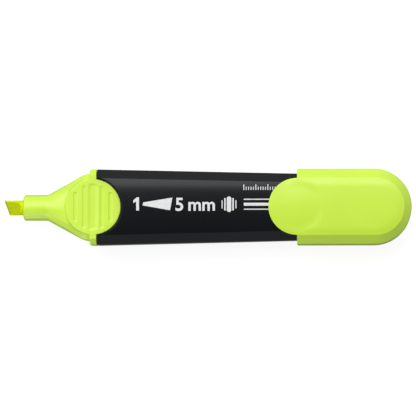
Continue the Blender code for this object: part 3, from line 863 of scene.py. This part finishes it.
def chisel_cutter(side):
    """What is ground off one face of the nib, down to its soft slanted edge."""
    rows = []
    blade = NIB_TIP + CHISEL_LENGTH - CHISEL_RUNOUT
    ahead = [a * MM for a in (-2.0, -0.6, 0.0, 0.15, 0.30, 0.45, 0.60)]
    ahead += [CHISEL_BEVEL, 1.0 * MM, 1.4 * MM, 2.0 * MM]
    for across in (-1.2, -0.8, -0.4, 0.0, 0.4, 0.8, 1.2):
        y = across * NIB_RADIUS
        edge = NIB_TIP + CHISEL_SLANT * (NIB_RADIUS - y)
        xs = [edge + a for a in ahead if edge + a < blade - 0.2 * MM]
        while len(xs) < len(ahead):
            xs.append(xs[-1] + 0.02 * MM)
        xs += [blade + CHISEL_RUNOUT * k / RUNOUT_STEPS for k in range(RUNOUT_STEPS + 1)]
        row = []
        for x in xs:
            inside = min(1.0, max(0.0, (x - edge) / CHISEL_BEVEL))
            drop = CHISEL_BEVEL_DROP * (1 - inside) ** CHISEL_BEVEL_BEND
            row.append((x, y, AXIS + side * (chisel_half(x) - drop)))
        rows.append(row)
    bm = bmesh.new()
    low = [[bm.verts.new(p) for p in row] for row in rows]
    high = [[bm.verts.new((p[0], p[1], AXIS + side * 2 * NIB_RADIUS)) for p in row] for row in rows]
    strips = [pair for grid in (low, high) for pair in zip(grid, grid[1:])]
    strips += [(low[j], high[j]) for j in (0, -1)]
    strips += [([row[k] for row in low], [row[k] for row in high]) for k in (0, -1)]
    for near, far in strips:
        weave(bm, near, far)
    return bm


def make_nib():
    back = FLANGE_FRONT + GUIDE_BACK
    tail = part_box("nib")[1].x
    stations = [
        (NIB_TIP - GAP, circle(NIB_RADIUS)),
        (back - (NIB_RADIUS - NIB_TAIL_RADIUS), circle(NIB_RADIUS)),
        (back, circle(NIB_TAIL_RADIUS)),
        (tail - NIB_TAIL_RADIUS / 2, circle(NIB_TAIL_RADIUS)),
        (tail, circle(NIB_TAIL_RADIUS / 2)),
    ]
    nib = new_piece("chisel_nib", loft(stations))
    carve(nib, "DIFFERENCE", chisel_cutter(1), chisel_cutter(-1))
    reach = 2 * NIB_RADIUS
    edge = [(NIB_TIP + CHISEL_SLANT * (NIB_RADIUS - y), y) for y in (reach, -reach)]
    outline = [(NIB_TIP - REACH, reach), (NIB_TIP - REACH, -reach), edge[1], edge[0]]
    rings = [[(x, y, AXIS + z) for x, y in outline] for z in (-reach, reach)]
    carve(nib, "DIFFERENCE", skin(rings))
    return polish(nib, math.radians(24))


def mark_ground(nib, felt, ground):
    """Gives the faces that are ground off the round nib their rougher look."""
    nib.data.materials.clear()
    nib.data.materials.append(felt)
    nib.data.materials.append(ground)
    for face in nib.data.polygons:
        x, y, z = face.center
        inside = math.hypot(y, z - AXIS) < NIB_RADIUS - 0.03 * MM
        face.material_index = int(inside and x < NIB_TIP + CHISEL_LENGTH)


# ---------------------------------------------------------------- cap


def cap_profile(inset, crown):
    half_width, half_thickness = HALF_WIDTH - inset, HALF_THICKNESS - inset
    chamfer = CHAMFER - INSET_CHAMFER * inset
    upper = quarter(half_width, half_thickness, chamfer, crown)
    return upper[-2::-1] + [(r, -z) for r, z in upper[1:-1]], half_width, chamfer


def step_down(value, start, width):
    """1 below the start, 0 past the start by the width, and smooth between."""
    return 1 - smooth(max(0.0, min(1.0, (value - start) / width)))


def pad_drop(x, y):
    """How much further the face falls than its crown, round the domed thumb pad and on the tongue."""
    ahead = x - CAP_MOUTH
    away = math.hypot(ahead, y)
    start = CAP_PAD_RADIUS - CAP_PAD_BLEND / 2
    on_tongue = step_down(ahead, -CAP_PAD_BLEND, CAP_PAD_BLEND)
    inside = max(step_down(away, start, CAP_PAD_BLEND), on_tongue)
    share = min(abs(y) / FACE_EDGE, 1.0)
    even = CAP_CROWN.total(FACE_EDGE) * share**2 - CAP_CROWN.drop(y, FACE_EDGE)
    bowl = min(1.0, away / CAP_PAD_RADIUS)
    rise = max(step_down(away, CAP_PAD_RADIUS, CAP_PAD_WALL), step_down(ahead, -3 * MM, 3 * MM))
    return CAP_PAD_DOME * bowl * bowl * rise + max(0.0, even) * inside


def cap_columns(start):
    """Where the cap's skin has a row of points along its straight part."""
    rows = [start] + [CAP_MOUTH - CAP_PAD_RADIUS + CAP_ROW_PITCH * k for k in range(24)]
    return [x for x in rows if x < CAP_BEND - 2 * MM and abs(x - CAP_MOUTH) > CAP_ROW_PITCH / 2]


def mouth_rim(r, z, half_width, chamfer):
    """A row's points at the mouth, which is soft along the sides and bevels."""
    on_face = max(0.0, min(1.0, (half_width - chamfer + 0.15 * MM - r) / (0.3 * MM)))
    tilt = 1.0 if r > half_width - 0.1 * MM else 0.75
    points = []
    for along, inward in quarter_turn(EDGE_SOFT, 4):
        pull = inward * (1 - on_face)
        lowered = z - math.copysign(pull * (1 - tilt) * 2, z)
        points.append((CAP_MOUTH + along, r - pull * tilt, lowered))
    return points


def cap_solid(inset, start, crown, lip=False):
    """The cap's section swept along the cap and round its closed end, taken in by an inset.

    With a lip, the sides and bevels are softened at the mouth, and the face has its thumb pad.
    """
    profile, half_width, chamfer = cap_profile(inset, crown)
    bends = [-math.pi / 2 + math.pi * k / BEND_STEPS for k in range(BEND_STEPS + 1)]
    columns = cap_columns(start) if lip else [start]
    bm = bmesh.new()
    rows = []
    for r, z in profile:
        ease = (CHAMFER - CAP_END_BEVEL) * min(r / (half_width - chamfer), (half_width - r) / chamfer)
        reaches = [(a, r + ease * math.cos(a)) for a in bends]
        path = [(CAP_BEND + reach * math.cos(a), reach * math.sin(a), z) for a, reach in reaches]
        near = [(x, r, z) for x in columns if x < CAP_MOUTH]
        if lip:
            near += mouth_rim(r, z, half_width, chamfer)
            near += [(x, r, z) for x in columns if x > CAP_MOUTH]
        line = [(x, -y, z) for x, y, z in near] + path + near[::-1]
        if lip and abs(z) > PAD_LEAST_HEIGHT:
            fall = math.copysign(min(1.0, max(0.0, (half_width - r) / chamfer)), z)
            line = [(x, y, z - pad_drop(x, y) * fall) for x, y, z in line]
        rows.append([bm.verts.new((x, y, AXIS + z)) for x, y, z in line])
    for near, far in zip(rows, rows[1:]):
        weave(bm, near, far)
    for row in (rows[0], rows[-1]) if lip else ():
        half = len(row) // 2
        weave(bm, row[:half], row[::-1][:half])
        bm.faces.new(row[half - 1 : half + 2])
    if not lip:
        bm.faces.new(rows[0])
        bm.faces.new(reversed(rows[-1]))
    bm.faces.new([row[0] for row in rows] + [row[-1] for row in reversed(rows)])
    return bm


def cap_face(x, y):
    return -CAP_CROWN.drop(y, FACE_EDGE) - pad_drop(x, y)


def mouth_outline(radius):
    """All that lies ahead of the mouth, but for a tongue of this radius."""
    turns = [math.pi / 2 + math.pi * k / BEND_STEPS for k in range(1, BEND_STEPS)]
    tongue = [(radius * math.cos(a), radius * math.sin(a)) for a in turns]
    tongue = [(0.0, radius), *tongue, (0.0, -radius)]
    return [(0.0, REACH), *tongue, (0.0, -REACH), (-REACH, -REACH), (-REACH, REACH)]


def mouth_cutter(side):
    levels = [(-0.5 * MM, SOCKET_RADIUS), (HALF_THICKNESS - CAP_WALL, SOCKET_RADIUS)]
    for along, inset in reversed(quarter_turn(EDGE_SOFT)):
        levels.append((HALF_THICKNESS - along, SOCKET_RADIUS - inset))
    levels.append((HALF_THICKNESS + 1 * MM, SOCKET_RADIUS - EDGE_SOFT))
    return upright(CAP_MOUTH, mouth_outline, side, levels, cap_face)


def make_cap(surface):
    start = CAP_MOUTH - SOCKET_RADIUS - CAP_WALL
    cap = new_piece("cap_moulding", cap_solid(0, start, CAP_CROWN, lip=True))
    hollow = cap_solid(CAP_WALL, CAP_MOUTH - REACH, NO_CROWN)
    carve(cap, "DIFFERENCE", hollow, mouth_cutter(1), mouth_cutter(-1))
    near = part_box("cap_inner_seal")[1].z - AXIS + FIT_GAP
    span = (CAP_MOUTH + RIB_START, CAP_MOUTH + RIB_START + RIB_LENGTH)
    ribs = bars_round("cap_ribs", RIB_COUNT, 0.0, span, (near, 2 * HALF_WIDTH), RIB_THICKNESS, surface)
    carve(ribs, "INTERSECT", cap_solid(CAP_WALL / 2, CAP_BEND, NO_CROWN))
    carve(cap, "UNION", ribs)
    post_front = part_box("cap_inner_seal")[1].x + GAP
    post = loft([(post_front, circle(POST_RADIUS)), (CAP_BACK - CAP_WALL / 2, circle(POST_RADIUS))])
    carve(cap, "UNION", post)
    return polish(cap)


# ---------------------------------------------------------------- rear plug and inner seal


def make_plug():
    plate_front = BARREL_BACK + GAP
    skirt_front = BARREL_BACK - PLUG_SKIRT
    taken = barrel_inset(BARREL_BACK)
    depth = PLUG_DIMPLE_DEPTH
    outer, inner = (inner_outline(BARREL_BACK, FIT_GAP + wall) for wall in (0, PLUG_WALL))
    stations = [
        (PLUG_BACK - depth, round_outline(PLUG_DIMPLE - 2 * depth)),
        (PLUG_BACK - 0.6 * depth, round_outline(PLUG_DIMPLE - 0.7 * depth)),
        (PLUG_BACK, round_outline(PLUG_DIMPLE)),
    ]
    for along, inset in [*quarter_turn(PLUG_EDGE_SOFT), (PLUG_BACK - plate_front, 0)]:
        half_width, half_thickness = HALF_WIDTH - taken - inset, HALF_THICKNESS - taken - inset
        plate = all_round(quarter(half_width, half_thickness, CHAMFER, BARREL_CROWN))
        stations.append((PLUG_BACK - along, plate))
    stations += [(plate_front, outer), (skirt_front, outer), (skirt_front, inner), (plate_front, inner)]
    return polish(new_piece("rear_end_plug", loft(stations)))


def make_seal():
    low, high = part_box("cap_inner_seal")
    front, back = low.x, high.x
    outer = (high.z - low.z) / 2
    inner = outer - SEAL_WALL
    lip = quarter_turn(SEAL_SOFT)
    floor = back - SEAL_BASE
    stations = [(back - a, circle(outer - i)) for a, i in lip]
    stations += [(front + a, circle(outer - i)) for a, i in reversed(lip)]
    stations += [(front + SEAL_SOFT - a, circle(inner + SEAL_SOFT - i)) for a, i in reversed(lip)]
    stations += [(floor - SEAL_SOFT, circle(inner)), (floor, circle(inner - SEAL_SOFT))]
    seal = new_piece("inner_seal_cup", loft(stations))
    start = CAP_MOUTH + RIB_START + RIB_LENGTH + GAP
    for side in (1, -1):
        near, far = sorted((side * (outer - SEAL_WALL / 2), side * high.y))
        corner = (start, near, AXIS - EAR_HALF_WIDTH)
        ear = block(corner, (start + EAR_LENGTH, far, AXIS + EAR_HALF_WIDTH))
        carve(seal, "UNION", ear)
    return polish(seal)


# ---------------------------------------------------------------- printing


def flat_mark(outline):
    """A flat face from a closed plan outline of (x, y) points."""
    mesh = bpy.data.meshes.new("mark")
    mesh.from_pydata([(x, y, 0) for x, y in outline], [], [range(len(outline))])
    return mesh


def text_mark(words, height, left, middle, weight):
    """Figures and letters in the built-in font, by their height, left end and middle line."""
    curve = bpy.data.curves.new(words, "FONT")
    curve.body = words
    curve.size = height / CAPITAL_SHARE
    curve.offset = weight
    curve.resolution_u = 6
    obj = bpy.data.objects.new(words, curve)
    bpy.context.scene.collection.objects.link(obj)
    settled = bpy.context.evaluated_depsgraph_get()
    mesh = bpy.data.meshes.new_from_object(obj.evaluated_get(settled))
    bpy.data.objects.remove(obj)
    start = min(v.co.x for v in mesh.vertices)
    mesh.transform(Matrix.Translation((left - start, middle - height / 2, 0)))
    return mesh


def round_ended(half, straight, steps):
    """The outline of a straight bar along Y with round ends, about its middle."""
    turns = [math.pi * k / steps for k in range(steps + 1)]
    ends = [(half * math.cos(a), straight + half * math.sin(a)) for a in turns]
    return ends + [(-x, -y) for x, y in ends]


def bar_mark(x, y, width, height):
    outline = round_ended(width / 2, (height - width) / 2, BAR_END_STEPS)
    return flat_mark([(x + a, y + b) for a, b in outline])


def tick_row(start, base, surface):
    """The ticks of a small ruler, with every fifth one longer."""
    g = Growth(
        "tick_row",
        {
            "Count": TICK_COUNT,
            "Pitch": TICK_PITCH,
            "Width": TICK_WIDTH,
            "Short": TICK_SHORT,
            "Long": TICK_LONG,
            "Place": (start, base, 0),
            "Finish": surface,
        },
    )
    line = g.line(Count=g["Count"], Offset=g.vector(g["Pitch"], 0.0, 0.0))
    tick = g.add("GeometryNodeMeshGrid", Vertices_X=2, Vertices_Y=2, Size_X=g["Width"], Size_Y=1.0)
    raised = g.moved(tick.outputs["Mesh"], Translation=(0, 0.5, 0))
    order = g.maths("MODULO", g.add("GeometryNodeInputIndex").outputs[0], 5.0)
    fifth = g.maths("LESS_THAN", order, 0.5)
    extra = g.maths("MULTIPLY", fifth, g.maths("SUBTRACT", g["Long"], g["Short"]))
    scale = g.vector(1.0, g.maths("ADD", g["Short"], extra), 1.0)
    made = g.grown("ticks", g.moved(g.placed(line, raised, Scale=scale), Translation=g["Place"]))
    mesh = made.data
    bpy.data.objects.remove(made)
    return mesh


def printed(name, marks):
    """Joins the marks, and lays them on the barrel's upper face as a thin film of ink."""
    whole = bmesh.new()
    for mesh in marks:
        whole.from_mesh(mesh)
    bmesh.ops.remove_doubles(whole, verts=whole.verts, dist=SLIVER)
    whole.normal_update()
    bmesh.ops.triangulate(whole, faces=whole.faces)
    highest = max(v.co.y for v in whole.verts)
    level = min(v.co.y for v in whole.verts) + PRINT_STRIP
    while level < highest:
        everything = [*whole.verts, *whole.edges, *whole.faces]
        bmesh.ops.bisect_plane(whole, geom=everything, plane_co=(0, level, 0), plane_no=(0, 1, 0))
        level += PRINT_STRIP
    for vert in whole.verts:
        vert.co.z = AXIS + HALF_THICKNESS + PRINT_LIFT + barrel_face(vert.co.x, vert.co.y)
    for face in whole.faces:
        face.normal_update()
        if face.normal.z < 0:
            face.normal_flip()
    made = bmesh.ops.extrude_face_region(whole, geom=whole.faces[:])
    for vert in made["geom"]:
        if isinstance(vert, bmesh.types.BMVert):
            vert.co.z -= PRINT_THICKNESS
    return new_piece(name, whole)


def make_print(surface):
    """The line widths in figures and as a stroke, five bars, three lines, and a small ruler."""
    left, middle = PRINT_LEFT, PRINT_MIDDLE
    top, foot = middle + FIGURE_HEIGHT / 2, FIGURE_HEIGHT / STEM_WIDTH
    one = [(1, foot), (2, foot), (2, 0), (1.25, 0), (0, 1.05), (0, 2.05), (1, 1.45)]
    start, end = left + STROKE_START, left + STROKE_END
    stroke = [
        (start, middle - STROKE_THIN),
        (end - STROKE_SLANT, middle - STROKE_BROAD),
        (end, middle + STROKE_BROAD),
        (start + STROKE_SLANT / 4, middle + STROKE_THIN),
    ]
    marks = [
        flat_mark([(left + a * STEM_WIDTH, top - b * STEM_WIDTH) for a, b in one]),
        flat_mark(stroke),
        text_mark("5", FIGURE_HEIGHT, end + 1.0 * MM, middle, FIGURE_WEIGHT),
        text_mark("mm", FIGURE_HEIGHT, end + 5.3 * MM, middle, FIGURE_WEIGHT),
    ]
    for offset, width, height in EMBLEM_BARS:
        place = EMBLEM_PLACE + offset * MM
        marks.append(bar_mark(place, middle - 0.15 * MM, width * MM, height * MM))
    for y, half in LINES:
        low, high = (y - half) * MM, (y + half) * MM
        corners = [(LINES_START, low), (LINES_END, low), (LINES_END, high), (LINES_START, high)]
        marks.append(flat_mark(corners))
    marks.append(tick_row(LINES_START, RULER_BASE, surface))
    return printed("barrel_print", marks)


# ---------------------------------------------------------------- surfaces


class Surface(Nodes):
    """A material with one Principled shader, its patterns laid on the piece's own coordinates."""

    def __init__(self, name):
        self.material = bpy.data.materials.new(name)
        self.material.use_nodes = True
        super().__init__(self.material.node_tree)
        self.shader = self.tree.nodes["Principled BSDF"]
        self.place = self.add("ShaderNodeTexCoord").outputs["Object"]

    def feed(self, **values):
        """Feeds or sets the shader's own sockets."""
        for name, value in values.items():
            self.link(value, self.shader.inputs[name.replace("_", " ")])

    def noise(self, scale, detail, roughness=0.5, stretch=(1, 1, 1)):
        where = self.add("ShaderNodeMapping", Vector=self.place, Scale=stretch).outputs[0]
        values = {"Vector": where, "Scale": scale, "Detail": detail, "Roughness": roughness}
        return self.add("ShaderNodeTexNoise", **values).outputs["Fac"]

    def blend(self, share, *tones):
        node = self.add("ShaderNodeMix", data_type="RGBA")
        for value, place in zip((share, *tones), (0, 6, 7)):
            self.link((*value, 1) if isinstance(value, tuple) else value, node.inputs[place])
        return node.outputs[2]

    def tones(self, noise, span, *tones):
        """Colours the surface from one tone to another with a noise."""
        self.feed(Base_Color=self.blend(self.spread(noise, span, (0, 1)), *tones))

    def grain(self, noise, roughness, strength, depth):
        """Gives it a gloss and a fine relief that follow a noise."""
        relief = self.add("ShaderNodeBump", Height=noise, Strength=strength, Distance=depth)
        self.feed(Roughness=self.spread(noise, (0.3, 0.7), roughness), Normal=relief.outputs[0])


def lime_plastic():
    s = Surface("lime_plastic")
    s.tones(s.noise(60, 2), (0.3, 0.7), (0.605, 0.865, 0.060), (0.635, 0.890, 0.072))
    s.grain(s.noise(2600, 4, 0.6), (0.27, 0.35), 0.06, 0.02 * MM)
    s.feed(Specular_IOR_Level=0.58, Subsurface_Weight=0.25)
    s.feed(Subsurface_Radius=(0.95, 1.0, 0.35), Subsurface_Scale=1.2 * MM)
    return s.material


def black_plastic():
    s = Surface("black_plastic")
    s.tones(s.noise(45, 2), (0.3, 0.7), (0.0044, 0.0050, 0.0064), (0.0056, 0.0062, 0.0078))
    s.grain(s.noise(4200, 3, 0.6), (0.17, 0.23), 0.10, 0.02 * MM)
    s.feed(Specular_IOR_Level=0.33)
    return s.material


def inked_felt():
    s = Surface("inked_felt")
    fibres = s.noise(1400, 4, 0.65, (0.06, 1, 1))
    dry = s.blend(s.spread(fibres, (0.35, 0.65), (0, 1)), (0.62, 0.73, 0.0004), (0.78, 0.90, 0.0008))
    damp = s.spread(s.noise(300, 3), (0.35, 0.7), (0, 0.3))
    s.feed(Base_Color=s.blend(damp, dry, (0.52, 0.62, 0.001)))
    s.grain(fibres, (0.55, 0.8), 0.35, 0.03 * MM)
    s.feed(Specular_IOR_Level=0.02, Subsurface_Weight=0.4)
    s.feed(Subsurface_Radius=(1.0, 1.0, 0.1), Subsurface_Scale=1.8 * MM)
    return s.material


def ground_felt():
    s = Surface("ground_felt")
    fibres = s.noise(1700, 5, 0.7, (0.25, 1, 1))
    s.tones(fibres, (0.35, 0.65), (0.40, 0.49, 0.004), (0.48, 0.57, 0.009))
    s.grain(fibres, (0.7, 0.9), 0.3, 0.02 * MM)
    s.feed(Specular_IOR_Level=0.04)
    return s.material


def white_ink():
    s = Surface("white_ink")
    wear = s.noise(900, 4, 0.65)
    s.tones(wear, (0.35, 0.7), (0.80, 0.80, 0.80), (0.72, 0.72, 0.73))
    s.grain(wear, (0.4, 0.6), 0.1, 0.01 * MM)
    return s.material


def natural_polyethylene():
    s = Surface("natural_polyethylene")
    s.tones(s.noise(150, 3), (0.3, 0.7), (0.80, 0.82, 0.74), (0.86, 0.87, 0.80))
    s.grain(s.noise(2200, 3), (0.42, 0.58), 0.08, 0.02 * MM)
    s.feed(Subsurface_Weight=0.15, Subsurface_Scale=2 * MM)
    return s.material


def inked_fibre():
    s = Surface("inked_fibre")
    fibres = s.noise(900, 5, 0.7, (0.04, 1, 1))
    s.tones(fibres, (0.35, 0.65), (0.45, 0.54, 0.01), (0.66, 0.76, 0.03))
    s.grain(fibres, (0.75, 0.95), 0.6, 0.05 * MM)
    return s.material


def clear_film():
    s = Surface("clear_film")
    crease = s.noise(260, 3, stretch=(0.2, 1, 1))
    s.tones(crease, (0.3, 0.7), (0.80, 0.83, 0.70), (0.88, 0.90, 0.82))
    s.grain(crease, (0.12, 0.28), 0.2, 0.05 * MM)
    return s.material


def paper_white():
    s = Surface("paper_white")
    s.tones(s.noise(40, 2), (0.3, 0.7), (0.19, 0.19, 0.19), (0.21, 0.21, 0.21))
    s.feed(Roughness=0.9, Specular_IOR_Level=0.1)
    s.feed(Emission_Color=(1, 1, 1, 1), Emission_Strength=FLOOR_GLOW)
    return s.material


# ---------------------------------------------------------------- stage


def make_floor():
    bm = bmesh.new()
    corners = [(-1, -1), (1, -1), (1, 1), (-1, 1)]
    bm.faces.new([bm.verts.new((x * FLOOR_HALF, y * FLOOR_HALF, 0)) for x, y in corners])
    floor = new_piece("floor", bm)
    floor.data.materials.append(paper_white())
    floor.visible_diffuse = False
    floor.visible_glossy = False


def make_room():
    """A pale room, darker on the -Y side, below the pen, and in a round patch over the camera."""
    world = bpy.data.worlds.new("studio")
    world.use_nodes = True
    room = Nodes(world.node_tree)
    direction = room.add("ShaderNodeTexCoord").outputs["Generated"]

    def graded(towards, cosines, levels):
        """A level that goes smoothly from one value to another with the angle from a direction."""
        along = room.add("ShaderNodeVectorMath", operation="DOT_PRODUCT", Vector=direction)
        along.inputs[1].default_value = Vector(towards).normalized()
        return room.spread(along.outputs["Value"], cosines, levels, interpolation_type="SMOOTHSTEP")

    across = graded((0, 1, 0), (-1, 1), (ROOM_NEAR, ROOM_FAR))
    below = graded((0, 0, 1), (-0.5, -0.1), (BELOW_SHARE, 1))
    edges = [math.cos(angle) for angle in (DARK_PATCH_OUTER, DARK_PATCH_INNER)]
    patch = graded(DARK_PATCH_DIRECTION, edges, (1, DARK_PATCH_SHARE))
    strength = room.maths("MULTIPLY", room.maths("MULTIPLY", across, below), patch)
    background = world.node_tree.nodes["Background"]
    background.inputs["Color"].default_value = ROOM_TINT
    room.link(strength, background.inputs["Strength"])
    bpy.context.scene.world = world


def make_lamp(name, power, size, place, target):
    light = bpy.data.lights.new(name, "AREA")
    light.shape = "RECTANGLE"
    light.energy = power
    light.size, light.size_y = size
    light.color = LAMP_TINT
    lamp = bpy.data.objects.new(name, light)
    lamp.location = place
    lamp.rotation_euler = (Vector(target) - lamp.location).to_track_quat("-Z", "Y").to_euler()
    lamp.visible_camera = False
    bpy.context.scene.collection.objects.link(lamp)


def make_lights():
    """A broad soft box on the +Y side, and a small fill by the nib."""
    make_room()
    above = Vector(SOFT_BOX_DIRECTION).normalized() * SOFT_BOX_DISTANCE
    make_lamp("soft_box", SOFT_BOX_POWER, SOFT_BOX_SIZE, above, (0, 0, 0))
    make_lamp("fill", FILL_POWER, FILL_SIZE, FILL_PLACE, FILL_TARGET)


def make_camera():
    camera = bpy.data.cameras.new("camera")
    camera.sensor_width = 36
    camera.lens = CAMERA_LENS
    camera.clip_end = 10
    obj = bpy.data.objects.new("camera", camera)
    obj.location = CAMERA_PLACE
    forward = (Vector(CAMERA_TARGET) - obj.location).normalized()
    right = forward.cross(Vector((0, 1, 0))).normalized()
    turn = Matrix((right, right.cross(forward), -forward)).transposed()
    obj.rotation_euler = turn.to_euler()
    bpy.context.scene.collection.objects.link(obj)
    bpy.context.scene.camera = obj


def main():
    lime, black, felt, ink = lime_plastic(), black_plastic(), inked_felt(), white_ink()
    soft = natural_polyethylene()
    finish_piece(make_barrel(black), "pen", "black_plastic", black, "barrel")
    finish_piece(make_front_section(lime), "pen", "lime_plastic", lime, "front_section")
    nib = make_nib()
    mark_ground(nib, felt, ground_felt())
    finish_piece(nib, "pen", "inked_felt", felt, "nib")
    finish_piece(make_plug(), "pen", "black_plastic", black, "rear_plug")
    finish_piece(make_cap(lime), "cap", "lime_plastic", lime, "cap_shell")
    finish_piece(make_seal(), "cap", "natural_polyethylene", soft, "cap_inner_seal")
    finish_piece(make_print(ink), "pen", "black_plastic", ink)
    for node, surface in (("reservoir_core", inked_fibre()), ("reservoir_film", clear_film())):
        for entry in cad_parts[node].material_slots:
            entry.material = surface
    make_floor()
    make_lights()
    make_camera()
    view = bpy.context.scene.view_settings
    view.view_transform = "Standard"
    view.look = "None"


main()
